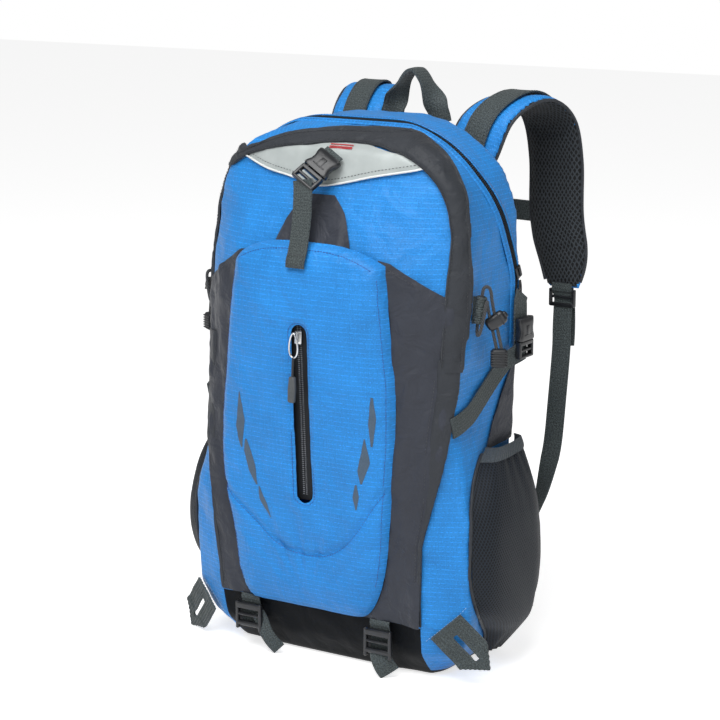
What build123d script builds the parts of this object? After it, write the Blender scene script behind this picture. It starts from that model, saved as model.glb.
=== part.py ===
from build123d import *
import math
import os

# Daypack, a soft hiking pack of about 40 litres.  The pack stands on its base, with its front
# towards -Y, its back panel towards +Y and +Z up.  The origin is the middle of the base, on the
# floor.  All sizes are in millimetres.

# ---- driving dimensions ----
BODY_HEIGHT = 499.0      # floor to the top of the arch
BACK_Y = 55.0            # plane of the back of the main compartment
SPLIT_Y = -20.0          # plane between the main and the front compartment
ARCH_Z = 400.0           # height where the straight sides turn into the arch
ARCH_HALF = 134.0        # half width at the foot of the arch
WALL = 2.2               # shell fabric with its lining
FLOOR = 2.5              # base fabric with its stiffener
BASE_SEAM_Z = 52.0       # seam between the black base and the front
GAP = 0.3                # clearance between neighbouring skins
SKIN = 2.0               # thickness of a fabric layer sewn over the shell
BAND_WIDTH = 20.0        # storm flap over the front zip
BAND_END_Z = 238.0       # where the storm flap ends on each side
POCKET_DEPTH = 14.0      # how far the front pocket stands out
WEBBING = 2.0            # thickness of webbing
WEB_NARROW = 20.0        # width of the narrow webbing
WEB_WIDE = 25.0          # width of the wide webbing
PAD_WIDTH = 56.0         # shoulder pad
PAD_THICK = 11.0
DOME_POWER = 3.2         # how squarely the front bulges

# Horizontal sections of the pack:
# height, half width at the front, half width at the back, y of the front edge, y of the middle,
# and how far the side swells out behind its front edge
SECTIONS = [
    (0, 106, 112, -44, -50, 4),
    (25, 111, 116, -68, -66, 27),
    (BASE_SEAM_Z, 110, 117, -74, -71.5, 41),
    (130, 113.5, 122, -79, -78, 38),
    (200, 127, 128, -67, -82, 12),
    (232, 130, 129.4, -61, -84, 0),
    (270, 133.5, 131, -54, -86.5, 0),
    (340, 137.5, 133, -46, -90, 0),
    (370, 137, 134, -43, -88.5, 0),
    (ARCH_Z, ARCH_HALF, ARCH_HALF, -40, -78, 0),
    (445, 136, 136, -34, -60, 0),
    (475, 136, 136, -28, -51, 0),
    (489, 136, 136, -20, -26, 0),
    (BODY_HEIGHT + 1, 136, 136, 20, 18, 0),
]
SWELL_SHARE = 0.14       # where the side is fullest, from its front edge to its back
SWELL_GROW_X = 1.15      # its fullest edge moves by these shares when the shape is grown
SWELL_GROW_Y = 0.5
DOME_STEPS = (-1, -0.85, -0.6, -0.3, 0, 0.3, 0.6, 0.85, 1)

# Half of the front pocket's outline, from the top corner to the bottom: x, z
POCKET_TOP_Z = 391.0
POCKET_CORNER = (78, 377)
POCKET_SIDE = [POCKET_CORNER, (84, 330), (91, 262), (91, 215), (85, 150), (74, 85), (45, 57), (0, 50)]


def section_at(z):
    """The six numbers of SECTIONS at any height."""
    for low, high in zip(SECTIONS, SECTIONS[1:]):
        if z <= high[0]:
            t = (z - low[0]) / (high[0] - low[0])
            return [a + (b - a) * t for a, b in zip(low, high)]
    return list(SECTIONS[-1])


def side_x(y, z):
    """Half width of the pack at one place on its side."""
    _, front_half, back_half, edge_y, _, swell = section_at(z)
    t = (y - edge_y) / (BACK_Y - edge_y)
    rise = min(t / SWELL_SHARE, (1 - t) / (1 - SWELL_SHARE))
    return front_half + (back_half - front_half) * t + swell * max(rise, 0)


def front_y(x, z):
    """y of the pack's bulging front at one place."""
    _, half, _, edge_y, middle_y, _ = section_at(z)
    return edge_y + (middle_y - edge_y) * (1 - min(abs(x) / half, 1) ** DOME_POWER)


def pack_block(grow, lift=0.0):
    """Solid of the pack's outer shape, grown by some millimetres, its bottom lifted by lift."""
    with BuildPart() as block:
        for z, front_half, back_half, edge_y, middle_y, swell in SECTIONS:
            level = max(z, lift) + (grow if z > 450 else 0)
            front = []
            for step in DOME_STEPS:
                bulge = (middle_y - edge_y) * (1 - abs(step) ** DOME_POWER)
                front.append((step * (front_half + grow), edge_y + bulge - grow))
            full_x = front_half + (back_half - front_half) * SWELL_SHARE + swell + SWELL_GROW_X * grow
            full_y = edge_y + (BACK_Y - edge_y) * SWELL_SHARE - SWELL_GROW_Y * grow
            with BuildSketch(Plane.XY.offset(level)):
                with BuildLine():
                    Spline(front)
                    Polyline(
                        front[-1],
                        (full_x, full_y),
                        (back_half + grow, BACK_Y + grow),
                        (-back_half - grow, BACK_Y + grow),
                        (-full_x, full_y),
                        front[0],
                    )
                make_face()
        loft(ruled=True)
        arch = []
        for i in range(13):
            angle = math.radians(180 - 15 * i)
            reach = abs(math.cos(angle)) ** 0.8 * (ARCH_HALF + grow)
            rise = (BODY_HEIGHT + grow - ARCH_Z) * math.sin(angle)
            arch.append((math.copysign(reach, math.cos(angle)), ARCH_Z + rise))
        with BuildSketch(Plane.XZ):
            with BuildLine():
                Spline(arch)
                Polyline(arch[-1], (150, ARCH_Z), (150, -1), (-150, -1), (-150, ARCH_Z), arch[0])
            make_face()
        extrude(amount=200, both=True, mode=Mode.INTERSECT)
    return block.part


def pocket_outline(grow):
    """Shield outline of the front pocket, grown by some millimetres."""
    right = [(POCKET_CORNER[0] + grow, POCKET_CORNER[1] + grow)]
    for x, z in POCKET_SIDE[1:]:
        right.append((x + (grow if x else 0), z - (grow if z < 60 else 0)))
    left = [(-x, z) for x, z in reversed(right)]
    with BuildSketch() as outline:
        with BuildLine():
            Spline(right + left[1:])
            ThreePointArc(left[-1], (0, POCKET_TOP_Z + grow), right[0])
        make_face()
    return outline.sketch


def band_outline(width, end_z, edge=0.3):
    """Arch-shaped band that follows the front edge, from edge to width in from it, down to end_z."""
    with BuildSketch() as outline:
        for inset, mode in ((edge, Mode.ADD), (width, Mode.SUBTRACT)):
            side = []
            for z in (end_z, 270, 340, ARCH_Z):
                side.append((min(section_at(z)[1], ARCH_HALF) - inset, z))
            arch = []
            for i in range(1, 12):
                angle = math.radians(15 * i)
                reach = abs(math.cos(angle)) ** 0.8 * (ARCH_HALF - inset)
                rise = (BODY_HEIGHT - 10 - inset - ARCH_Z) * math.sin(angle)
                arch.append((math.copysign(reach, math.cos(angle)), ARCH_Z + rise))
            points = side + arch + [(-x, z) for x, z in reversed(side)]
            with BuildLine():
                Spline(points)
                Line(points[-1], points[0])
            make_face(mode=mode)
    return outline.sketch


def finish(part, name):
    """Label one finished piece and write it."""
    part.label = name
    export_step(part, f"parts/{name}.step")


def front_layer(near, far, outline, name, cut=None):
    """A fabric layer over the front, between two depths, inside an outline seen from the front."""
    with BuildPart() as layer:
        with BuildSketch(Plane.XZ.offset(-SPLIT_Y + 1)):
            add(outline)
            if cut is not None:
                add(cut, mode=Mode.SUBTRACT)
        extrude(amount=130)
        add(Pos(0, -far, 0) * OUTER, mode=Mode.INTERSECT)
        add(Pos(0, -near, 0) * OUTER, mode=Mode.SUBTRACT)
    finish(layer.part, name)


def side_layer(near, far, points, name, sides=(1, -1)):
    """A layer on the sides of the pack, inside a polygon of (y, z) points seen from that side."""
    with BuildPart() as layer:
        with BuildSketch(Plane.YZ):
            with BuildLine():
                Polyline(*points, close=True)
            make_face()
            with Locations((BACK_Y + 50, BODY_HEIGHT / 2)):
                Rectangle(100, 2 * BODY_HEIGHT, mode=Mode.SUBTRACT)
        extrude(amount=sides[0] * 200, both=len(sides) == 2)
        add(GROWN[far], mode=Mode.INTERSECT)
        add(GROWN[near], mode=Mode.SUBTRACT)
    finish(layer.part, name)


os.makedirs("parts", exist_ok=True)
OUTER = pack_block(0)
INNER = pack_block(-WALL, lift=FLOOR)
TAPE_TOP = GAP + 1.2      # outside of the zip tape and of the side panel
STRAP_UNDER = TAPE_TOP + GAP
STRAP_TOP = STRAP_UNDER + WEBBING
GROWN = {grow: pack_block(grow) for grow in (GAP, TAPE_TOP, STRAP_UNDER, STRAP_TOP)}
SIDES = {"r": 1, "l": -1}

# ---- the shell: main compartment, front compartment, base, divider and back ----
with BuildPart() as main_shell:
    add(OUTER)
    add(INNER, mode=Mode.SUBTRACT)
    split(bisect_by=Plane.XZ.offset(-SPLIT_Y), keep=Keep.BOTTOM)
    split(bisect_by=Plane.XY.offset(FLOOR), keep=Keep.TOP)
finish(main_shell.part, "main_shell")

with BuildPart() as front_shell:
    add(OUTER)
    add(INNER, mode=Mode.SUBTRACT)
    split(bisect_by=Plane.XZ.offset(-SPLIT_Y), keep=Keep.TOP)
    split(bisect_by=Plane.XY.offset(BASE_SEAM_Z), keep=Keep.TOP)
finish(front_shell.part, "front_shell")

with BuildPart() as base_panel:
    add(OUTER)
    add(INNER, mode=Mode.SUBTRACT)
    split(bisect_by=Plane.XY.offset(BASE_SEAM_Z), keep=Keep.BOTTOM)
    with BuildSketch(Plane.XY.offset(FLOOR)):
        with Locations((0, SPLIT_Y + 100)):
            Rectangle(300, 200)
    extrude(amount=BASE_SEAM_Z, mode=Mode.SUBTRACT)
finish(base_panel.part, "base_panel")

with BuildPart() as divider:
    add(pack_block(-WALL - GAP, lift=FLOOR + GAP))
    split(bisect_by=Plane.XZ.offset(-SPLIT_Y - 1.5), keep=Keep.TOP)
    split(bisect_by=Plane.XZ.offset(-SPLIT_Y), keep=Keep.BOTTOM)
finish(divider.part, "divider")

# Padded back: a mesh-covered panel and two upright foam pads with a channel between them.
with BuildPart() as back_panel:
    with BuildSketch(Plane.XZ.offset(-BACK_Y - GAP)):
        with BuildLine():
            Polyline((-126, 330), (-108, 24), (108, 24), (126, 330))
            Spline((126, 330), (118, 420), (70, 478), (0, 490), (-70, 478), (-118, 420), (-126, 330))
        make_face()
    extrude(amount=-3)
finish(back_panel.part, "back_panel")

with BuildPart() as back_pads:
    with BuildSketch(Plane.XZ.offset(-BACK_Y - GAP - 3)):
        with Locations((-56, 245), (56, 245)):
            RectangleRounded(78, 330, 20)
    extrude(amount=-7)
    fillet(back_pads.faces().sort_by(Axis.Y)[-2:].edges(), 3)
finish(back_pads.part, "back_pads")

# ---- the front: pocket, its side wings, tongue, storm flap and reflective patch ----
POCKET = pocket_outline(0)
BAND = band_outline(BAND_WIDTH, BAND_END_Z)
POCKET_CLEAR = pocket_outline(GAP)
BAND_CLEAR = band_outline(BAND_WIDTH + GAP, BAND_END_Z - GAP, edge=-4.0)

ZIP_X = -3.0             # the pocket zip runs a little to one side of the middle
ZIP_WINDOW = 13.0        # width of the opening that the pocket zip lies in
ZIP_TOP_Z = 322.0
ZIP_BOTTOM_Z = 162.0

with BuildPart() as front_pocket:
    with BuildSketch(Plane.XZ.offset(-SPLIT_Y)):
        add(POCKET)
    extrude(amount=130)
    add(Pos(0, -POCKET_DEPTH, 0) * OUTER, mode=Mode.INTERSECT)
    add(Pos(0, -GAP, 0) * OUTER, mode=Mode.SUBTRACT)
    with BuildPart(mode=Mode.PRIVATE) as pocket_space:
        with BuildSketch(Plane.XZ.offset(-SPLIT_Y)):
            add(pocket_outline(-WALL))
        extrude(amount=130)
        add(Pos(0, WALL - POCKET_DEPTH, 0) * OUTER, mode=Mode.INTERSECT)
    add(pocket_space.part, mode=Mode.SUBTRACT)
    with BuildSketch(Plane.XZ.offset(80)):
        with Locations((ZIP_X, (ZIP_TOP_Z + ZIP_BOTTOM_Z) / 2)):
            SlotOverall(ZIP_TOP_Z - ZIP_BOTTOM_Z, ZIP_WINDOW, rotation=90)
    extrude(amount=60, mode=Mode.SUBTRACT)
finish(front_pocket.part, "front_pocket")

WING_TOP = [(60, 384), (79, 380), (101, 367), (130, 347)]
WING_EDGE = WING_TOP + [(section_at(z)[1] - 0.5, z) for z in (335, 270, 200, 130, BASE_SEAM_Z)] + [(40, 40)]
with BuildSketch() as wings:
    for side in (1, -1):
        with BuildLine():
            Polyline(*[(side * x, z) for x, z in WING_EDGE], close=True)
        make_face()
    with Locations((0, BASE_SEAM_Z + GAP - 100)):
        Rectangle(400, 200, mode=Mode.SUBTRACT)
    add(POCKET_CLEAR, mode=Mode.SUBTRACT)
    add(BAND_CLEAR, mode=Mode.SUBTRACT)
front_layer(GAP, GAP + SKIN, wings.sketch, "pocket_wings")

front_layer(GAP, GAP + SKIN + 1, BAND, "front_zip_flap")

with BuildSketch() as tongue_outline:
    with BuildLine():
        Polyline((-43, 370), (-26, 431), (25, 431), (43, 370), close=True)
    make_face()
front_layer(GAP, GAP + 4, tongue_outline.sketch, "pocket_tongue", cut=POCKET_CLEAR)

with BuildSketch() as patch_outline:
    with BuildLine():
        Spline((-88, 458), (-62, 451), (-38, 447), (-12, 441), (12, 443), (50, 452), (88, 458))
        Spline((88, 458), (60, 478), (0, 489), (-60, 478), (-88, 458))
    make_face()
front_layer(GAP, GAP + 1.5, patch_outline.sketch, "reflective_patch", cut=BAND_CLEAR)

# ---- side parts, seen from the side as (y, z) ----
MAIN_ZIP = [(50, 292), (46, 361), (14, 430), (2, 455), (-8, 505)]
STRAP_LINE = [(-48.5, 242), (-30, 246), (34, 288)]
MESH_LEVELS = [            # height, y of the front seam, furthest half width
    (3, 30, 122),
    (30, 9, 147),
    (47, -17, 161),
    (68, -44, 168),
    (95, -56, 171),
    (125, -58, 171),
    (156, -52, 169),
    (175, -43, 165.5),
    (188, -34, 160),
    (200, -20, 152),
    (208, -6, 147),
]
MESH_BACK_Y = 56.0
MESH_BULGE = [(0.09, 0.72), (0.28, 1.0), (0.7, 1.0), (0.86, 0.75), (0.96, 0.3)]   # shares: back, out
MESH_WALL = 1.5
MESH_GAP = 1.0            # between the mesh's seams and the shell
MESH_FLOOR = MESH_LEVELS[0][0] + MESH_WALL


def ribbon(points, width):
    """Polygon of a ribbon of even width around a line of (y, z) points."""
    one_edge = []
    other_edge = []
    for i, (y, z) in enumerate(points):
        before = points[max(i - 1, 0)]
        after = points[min(i + 1, len(points) - 1)]
        length = math.hypot(after[0] - before[0], after[1] - before[1])
        across_y = -(after[1] - before[1]) / length * width / 2
        across_z = (after[0] - before[0]) / length * width / 2
        one_edge.append((y + across_y, z + across_z))
        other_edge.append((y - across_y, z - across_z))
    return one_edge + other_edge[::-1]


def mesh_section(z, front_seam_y, reach, inset, side):
    """One horizontal D-shaped section of the mesh pocket, inset from its outside."""
    start = (side_x(front_seam_y, z) + MESH_GAP, front_seam_y + inset)
    end = (side_x(MESH_BACK_Y, z) + MESH_GAP, MESH_BACK_Y - inset)
    depth = reach - inset - start[0]
    outside = [
        start,
        *[(start[0] + depth * out, start[1] + (end[1] - start[1]) * way) for way, out in MESH_BULGE],
        end,
    ]
    with BuildSketch(Plane.XY.offset(z)) as section:
        with BuildLine():
            Polyline(*[(side * x, y) for x, y in outside], close=True)
        make_face()
    return section.sketch


# One solid right round the pack: the ribbon runs up both sides and over the arch.
side_layer(GAP, TAPE_TOP, ribbon(MAIN_ZIP, 12), "main_zip")
side_layer(GAP, TAPE_TOP, [(50, 286), (58, 286), (58, 211), (0, 211)], "side_panels")
for tag, side in SIDES.items():
    strap = ribbon(STRAP_LINE, WEB_NARROW)
    side_layer(STRAP_UNDER, STRAP_TOP, strap, f"side_strap_{tag}", sides=(side,))

    with BuildPart() as mesh_pocket:
        loft([mesh_section(*level, 0, side) for level in MESH_LEVELS[:-1]], ruled=True)
        space = [mesh_section(max(z, MESH_FLOOR), seam_y, reach, MESH_WALL, side)
                 for z, seam_y, reach in MESH_LEVELS[:-1]]
        loft(space, ruled=True, mode=Mode.SUBTRACT)
    finish(mesh_pocket.part, f"mesh_pocket_{tag}")

with BuildPart() as pocket_hems:
    for side in SIDES.values():
        loft([mesh_section(*level, 0, side) for level in MESH_LEVELS[-2:]], ruled=True)
        mouth = [mesh_section(*level, MESH_WALL + 1, side) for level in MESH_LEVELS[-2:]]
        loft(mouth, ruled=True, mode=Mode.SUBTRACT)
finish(pocket_hems.part, "pocket_hems")

# ---- main zip: a slider with a hanging pull on each side ----
SLIDER_Y = 46.0
SLIDER_Z = 361.0
SLIDER_SIZE = (12.0, 9.0, 4.0)                    # along the tape, across it, height
PULL_LENGTH = 50.0
PULL_WIDTH = 5.0
PULL_THICK = 2.6
TAPE_TILT = math.degrees(math.atan2(MAIN_ZIP[1][0] - MAIN_ZIP[2][0], MAIN_ZIP[2][1] - MAIN_ZIP[1][1]))
for tag, side in SIDES.items():
    tape_x = side * (side_x(SLIDER_Y, SLIDER_Z) + TAPE_TOP + 2 * GAP + 0.3)
    with BuildPart() as main_zip_slider:
        with BuildSketch(Plane.YZ.offset(tape_x)):
            with Locations((SLIDER_Y, SLIDER_Z)):
                RectangleRounded(SLIDER_SIZE[0], SLIDER_SIZE[1], 2, rotation=90 + TAPE_TILT)
        extrude(amount=side * SLIDER_SIZE[2])
    finish(main_zip_slider.part, f"main_zip_slider_{tag}")

    with BuildPart() as main_zip_pull:
        with BuildSketch(Plane.YZ.offset(tape_x + side * 0.4)):
            with Locations((SLIDER_Y + 1.5, SLIDER_Z - 7 - PULL_LENGTH / 2)):
                SlotOverall(PULL_LENGTH, PULL_WIDTH, rotation=90)
        extrude(amount=side * PULL_THICK)
    finish(main_zip_pull.part, f"main_zip_pull_{tag}")

# ---- pocket zip: tape in the window, slider, wire ring and rubber grip ----
POCKET_OUT_TOP = front_y(0, ZIP_TOP_Z) - POCKET_DEPTH
POCKET_OUT_BOTTOM = front_y(0, ZIP_BOTTOM_Z) - POCKET_DEPTH
TAPE_DEPTH = 4.0
TAPE_PLANE = Plane(
    origin=(ZIP_X, POCKET_OUT_TOP + TAPE_DEPTH, ZIP_TOP_Z),
    x_dir=(1, 0, 0),
    z_dir=(0, ZIP_BOTTOM_Z - ZIP_TOP_Z, POCKET_OUT_TOP - POCKET_OUT_BOTTOM),
)
ZIP_LENGTH = ZIP_TOP_Z - ZIP_BOTTOM_Z
with BuildPart() as pocket_zip:
    with BuildSketch(TAPE_PLANE):
        with Locations((0, -ZIP_LENGTH / 2)):
            Rectangle(18, ZIP_LENGTH + 8)
    extrude(amount=-1.5)
finish(pocket_zip.part, "pocket_zip")

with BuildPart() as pocket_zip_slider:
    with BuildSketch(TAPE_PLANE.offset(GAP)):
        with Locations((0, -12)):
            RectangleRounded(8, 12, 2)
    extrude(amount=5)
finish(pocket_zip_slider.part, "pocket_zip_slider")

RING_Y = POCKET_OUT_TOP - 4.0
RING_TOP_Z = ZIP_TOP_Z - 6.0
RING_SIZE = (11.0, 24.0)
WIRE = 1.8
with BuildPart() as pocket_zip_ring:
    with BuildSketch(Plane.XZ.offset(-RING_Y)):
        with Locations((ZIP_X, RING_TOP_Z - RING_SIZE[1] / 2)):
            SlotOverall(RING_SIZE[1], RING_SIZE[0], rotation=90)
            SlotOverall(RING_SIZE[1] - 2 * WIRE, RING_SIZE[0] - 2 * WIRE, rotation=90, mode=Mode.SUBTRACT)
    extrude(amount=WIRE)
finish(pocket_zip_ring.part, "pocket_zip_ring")

GRIP_TOP_Z = RING_TOP_Z - RING_SIZE[1] - GAP
with BuildPart() as pocket_zip_grip:
    with BuildSketch(Plane.XZ.offset(-RING_Y - 0.6)):
        with Locations((ZIP_X, GRIP_TOP_Z - 8)):
            Rectangle(3, 16)
    extrude(amount=3)
    with BuildSketch(Plane.XZ.offset(-RING_Y - 2)):
        with Locations((ZIP_X, GRIP_TOP_Z - 28)):
            RectangleRounded(8, 24, 3)
    extrude(amount=6)
finish(pocket_zip_grip.part, "pocket_zip_grip")


# ---- side-release buckles ----
SHELL_LENGTH = 21.0
SHELL_THICK = 8.0
PRONG_LENGTH = 14.0
BAR_LENGTH = 15.0
CAVITY_WALL = 1.8


def buckle_female(plane, width, name):
    """Hollow half of a buckle: its mouth is at the plane's origin and opens along its y."""
    with BuildPart() as female:
        with BuildSketch(plane.offset(-SHELL_THICK / 2)):
            with Locations((0, -SHELL_LENGTH / 2)):
                RectangleRounded(width + 5, SHELL_LENGTH, 3)
        extrude(amount=SHELL_THICK)
        with BuildSketch(plane.offset(-SHELL_THICK / 2 + CAVITY_WALL)):
            with Locations((0, -PRONG_LENGTH / 2)):
                Rectangle(width + 1, PRONG_LENGTH + 1.2)
        extrude(amount=SHELL_THICK - 2 * CAVITY_WALL, mode=Mode.SUBTRACT)
    finish(female.part, name)


def buckle_male(plane, width, name, tunnel=False):
    """Pronged half of a buckle: a bar that holds the webbing, and prongs in the other half."""
    prong_thick = SHELL_THICK - 2 * CAVITY_WALL - 2 * GAP
    prong_y = 1 - PRONG_LENGTH / 2
    with BuildPart() as male:
        with BuildSketch(plane.offset(-SHELL_THICK / 2 + 1)):
            with Locations((0, BAR_LENGTH / 2 + 1)):
                RectangleRounded(width + 5, BAR_LENGTH, 2)
        extrude(amount=SHELL_THICK - 2)
        with BuildSketch(plane.offset(-prong_thick / 2)):
            with Locations((2 - width / 2, prong_y), (width / 2 - 2, prong_y)):
                Rectangle(3.4, PRONG_LENGTH)
            with Locations((0, prong_y)):
                Rectangle(2.4, PRONG_LENGTH)
        extrude(amount=prong_thick)
        if tunnel:
            with BuildSketch(plane.offset(-WEBBING / 2 - 0.4)):
                with Locations((0, BAR_LENGTH / 2 + 2)):
                    Rectangle(width + 1, BAR_LENGTH + 4)
            extrude(amount=WEBBING + 0.8, mode=Mode.SUBTRACT)
        else:
            with BuildSketch(plane.offset(-SHELL_THICK)):
                with Locations((0, BAR_LENGTH * 0.4), (0, BAR_LENGTH * 0.8)):
                    Rectangle(width, 3)
            extrude(amount=SHELL_THICK * 2, mode=Mode.SUBTRACT)
    finish(male.part, name)


# Front buckle: it leans outwards and a little to one side.
FRONT_TOP = Vector(7, -64, 467)           # where the female half is sewn on
FRONT_FOOT = Vector(-6, -88, 447)         # where the strap leaves the male half
FRONT_PULL = (FRONT_FOOT - FRONT_TOP).normalized()
FRONT_ACROSS = FRONT_PULL.cross(Vector(0, -1, 0)).normalized()
FRONT_PLANE = Plane(
    origin=FRONT_TOP + FRONT_PULL * (SHELL_LENGTH - 2),
    x_dir=FRONT_ACROSS,
    z_dir=FRONT_ACROSS.cross(FRONT_PULL),
)
buckle_female(FRONT_PLANE, WEB_NARROW, "front_buckle_female")
buckle_male(FRONT_PLANE, WEB_NARROW, "front_buckle_male")

with BuildPart() as front_buckle_tab:
    with BuildSketch(FRONT_PLANE.offset(-WEBBING / 2)):
        with Locations((0, -SHELL_LENGTH - 3.8)):
            Rectangle(WEB_NARROW, 7)
    extrude(amount=WEBBING)
finish(front_buckle_tab.part, "front_buckle_tab")

STRAP_UNDERSIDE = [(-103.4, 366), (-103.0, 371), (-95.9, 391.5), (-89.8, 430)]
with BuildPart() as front_strap:
    with BuildSketch(Plane.YZ.offset(ZIP_X - WEB_NARROW / 2)):
        with BuildLine():
            Polyline(*STRAP_UNDERSIDE, *[(y - WEBBING, z) for y, z in STRAP_UNDERSIDE[::-1]], close=True)
        make_face()
    extrude(amount=WEB_NARROW)
finish(front_strap.part, "front_strap")

# Side buckles: they hang upright behind the end of each side strap.
SIDE_BUCKLE = (146.0, 44.0, 300.0)
TAB_X = SIDE_BUCKLE[0] - SHELL_THICK / 2 - GAP
for tag, side in SIDES.items():
    hanging = Plane(
        origin=(side * SIDE_BUCKLE[0], SIDE_BUCKLE[1], SIDE_BUCKLE[2]),
        x_dir=(0, -side, 0),
        z_dir=(side, 0, 0),
    )
    buckle_female(hanging, WEB_NARROW, f"side_buckle_female_{tag}")
    buckle_male(hanging, WEB_NARROW, f"side_buckle_male_{tag}")

with BuildPart() as side_buckle_tabs:
    for side in SIDES.values():
        with BuildSketch(Plane.YZ.offset(side * TAB_X)):
            with Locations((SIDE_BUCKLE[1], SIDE_BUCKLE[2] + 4)):
                Rectangle(WEB_NARROW, 40)
        extrude(amount=-side * WEBBING)
        with BuildSketch(Plane.YZ.offset(side * (TAB_X - WEBBING))):
            with Locations((BACK_Y - 2.5, SIDE_BUCKLE[2] + 18)):
                Rectangle(4, 12)
        extrude(amount=-side * 4.5)
finish(side_buckle_tabs.part, "side_buckle_tabs")

# ---- pole holders: tab, shock cord loop, cord lock and cord end on each side ----
HOLDER_X = 142.6         # each holder hangs in an upright plane through this place
HOLDER_Y = -32.0
HOLDER_TURN = 33.0       # the plane is turned back from the width of the pack by these degrees
TUBE_FOOT = (-1.9, 327, 0)
TUBE_HEAD = (1.9, 351, 0)
TUBE_RADIUS = 4.2
CORD_RADIUS = 1.6
LOCK_CENTRE = (14.5, 329.5)
LOCK_SIZE = (20.0, 13.0, 9.0)
LOCK_TURN = 36.0
END_TOP = (17.4, 304.5)
END_SIZE = (15.0, 17.0, 11.0)
# Route of the shock cord in the holder's plane (outwards, up, and off the plane): from the cord
# end up through the lock, round in front of it into the foot of the tab's tube, out of its head
# and back down through the lock to the cord end.
CORD_ROUTE = [
    (15.2, 304.5, 0),
    (7.0, 340, 0),
    (6.6, 347.5, 2.4),
    (5.4, 346, 8.0),
    (4.0, 337, 8.2),
    (1.2, 324, 7.6),
    (-0.6, 317.5, 6.2),
    (-2.4, 316.5, 1.2),
    (-1.9, 327, 0),
    (1.9, 351, 0),
    (3.4, 360, 0),
    (9.6, 359, 0),
    (10.8, 344, 0),
    (19.6, 304.5, 0),
]
LOCK_RUNS = [(CORD_ROUTE[0], CORD_ROUTE[1]), (CORD_ROUTE[-1], CORD_ROUTE[-2])]


def holder_plane(side):
    """Upright plane of one pole holder, its x outwards and back, its y upwards."""
    turn = math.radians(HOLDER_TURN)
    outwards = Vector(side * math.cos(turn), math.sin(turn), 0)
    return Plane(origin=(side * HOLDER_X, HOLDER_Y, 0), x_dir=outwards, z_dir=outwards.cross(Vector(0, 0, 1)))


def rounded_radii(points, share=0.45):
    """Radius for each corner of a route, as large as the runs beside it allow."""
    radii = []
    for before, here, after in zip(points, points[1:], points[2:]):
        first = here - before
        second = after - here
        turn = math.radians(first.get_angle(second))
        radii.append(share * min(first.length, second.length) / math.tan(turn / 2))
    return radii


def round_bar(start, end, radius):
    """Straight round bar between two places."""
    with BuildPart() as bar:
        with BuildSketch(Plane(origin=start, z_dir=end - start)):
            Circle(radius)
        extrude(amount=(end - start).length)
    return bar.part


with BuildPart() as pole_tabs:
    for side in SIDES.values():
        place = holder_plane(side)
        foot = place.from_local_coords(TUBE_FOOT)
        head = place.from_local_coords(TUBE_HEAD)
        with BuildSketch(place):
            with BuildLine():
                Polyline((-2.8, 328), TUBE_FOOT[:2], TUBE_HEAD[:2], (-2, 350), close=True)
            make_face()
        extrude(amount=1.5, both=True)
        add(round_bar(foot, head, TUBE_RADIUS))
        add(round_bar(foot, head, CORD_RADIUS + GAP), mode=Mode.SUBTRACT)
finish(pole_tabs.part, "pole_tabs")

for tag, side in SIDES.items():
    place = holder_plane(side)
    off_plane = side                    # the cord passes on the outer side of the lock
    route = [place.from_local_coords((x, z, off_plane * w)) for x, z, w in CORD_ROUTE]
    radii = rounded_radii(route)
    print("shock cord radii", tag, [round(radius, 1) for radius in radii])
    with BuildPart() as shock_cord:
        with BuildLine():
            path = FilletPolyline(*route, radius=radii)
        with BuildSketch(Plane(origin=path @ 0, z_dir=path % 0)):
            Circle(CORD_RADIUS)
        sweep()
    finish(shock_cord.part, f"shock_cord_{tag}")
    print("shock cord volume", shock_cord.part.volume, "length x area", path.length * math.pi * CORD_RADIUS**2)

    with BuildPart() as cord_lock:
        with BuildSketch(place.offset(-LOCK_SIZE[2] / 2)):
            with Locations(LOCK_CENTRE):
                RectangleRounded(LOCK_SIZE[0], LOCK_SIZE[1], 6.2, rotation=LOCK_TURN)
        extrude(amount=LOCK_SIZE[2])
        for run in LOCK_RUNS:
            start, end = [place.from_local_coords(point) for point in run]
            add(round_bar(start, end, CORD_RADIUS + 0.4), mode=Mode.SUBTRACT)
    finish(cord_lock.part, f"cord_lock_{tag}")

    with BuildPart() as cord_end:
        with BuildSketch(place.offset(-END_SIZE[2] / 2)):
            with Locations((END_TOP[0], END_TOP[1] - END_SIZE[1] / 2)):
                RectangleRounded(END_SIZE[0], END_SIZE[1], 3)
        extrude(amount=END_SIZE[2])
    finish(cord_end.part, f"cord_end_{tag}")

# ---- base straps with their ladder locks ----
BASE_STRAP_X = (67.0, -76.0)
BASE_STRAP_UNDER = [(-72.9, 50.5), (-67.6, 25), (-52.4, 3.2)]
LADDER_Y = -76.0
LADDER_TOP = 46.0
LADDER_SIZE = (29.0, 28.0, 4.0)
with BuildPart() as base_straps:
    for x in BASE_STRAP_X:
        with BuildSketch(Plane.YZ.offset(x - 11)):
            with BuildLine():
                front = [(y - WEBBING, z) for y, z in reversed(BASE_STRAP_UNDER)]
                Polyline(*BASE_STRAP_UNDER, *front, close=True)
            make_face()
        extrude(amount=22)
finish(base_straps.part, "base_straps")

for tag, x in zip(SIDES, BASE_STRAP_X):
    with BuildPart() as base_ladder_lock:
        with BuildSketch(Plane.XZ.offset(-LADDER_Y)):
            with Locations((x, LADDER_TOP - LADDER_SIZE[1] / 2)):
                RectangleRounded(LADDER_SIZE[0], LADDER_SIZE[1], 3)
            with Locations((x, LADDER_TOP - 10), (x, LADDER_TOP - 20)):
                Rectangle(23, 4.5, mode=Mode.SUBTRACT)
        extrude(amount=LADDER_SIZE[2])
    finish(base_ladder_lock.part, f"base_ladder_lock_{tag}")

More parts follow.
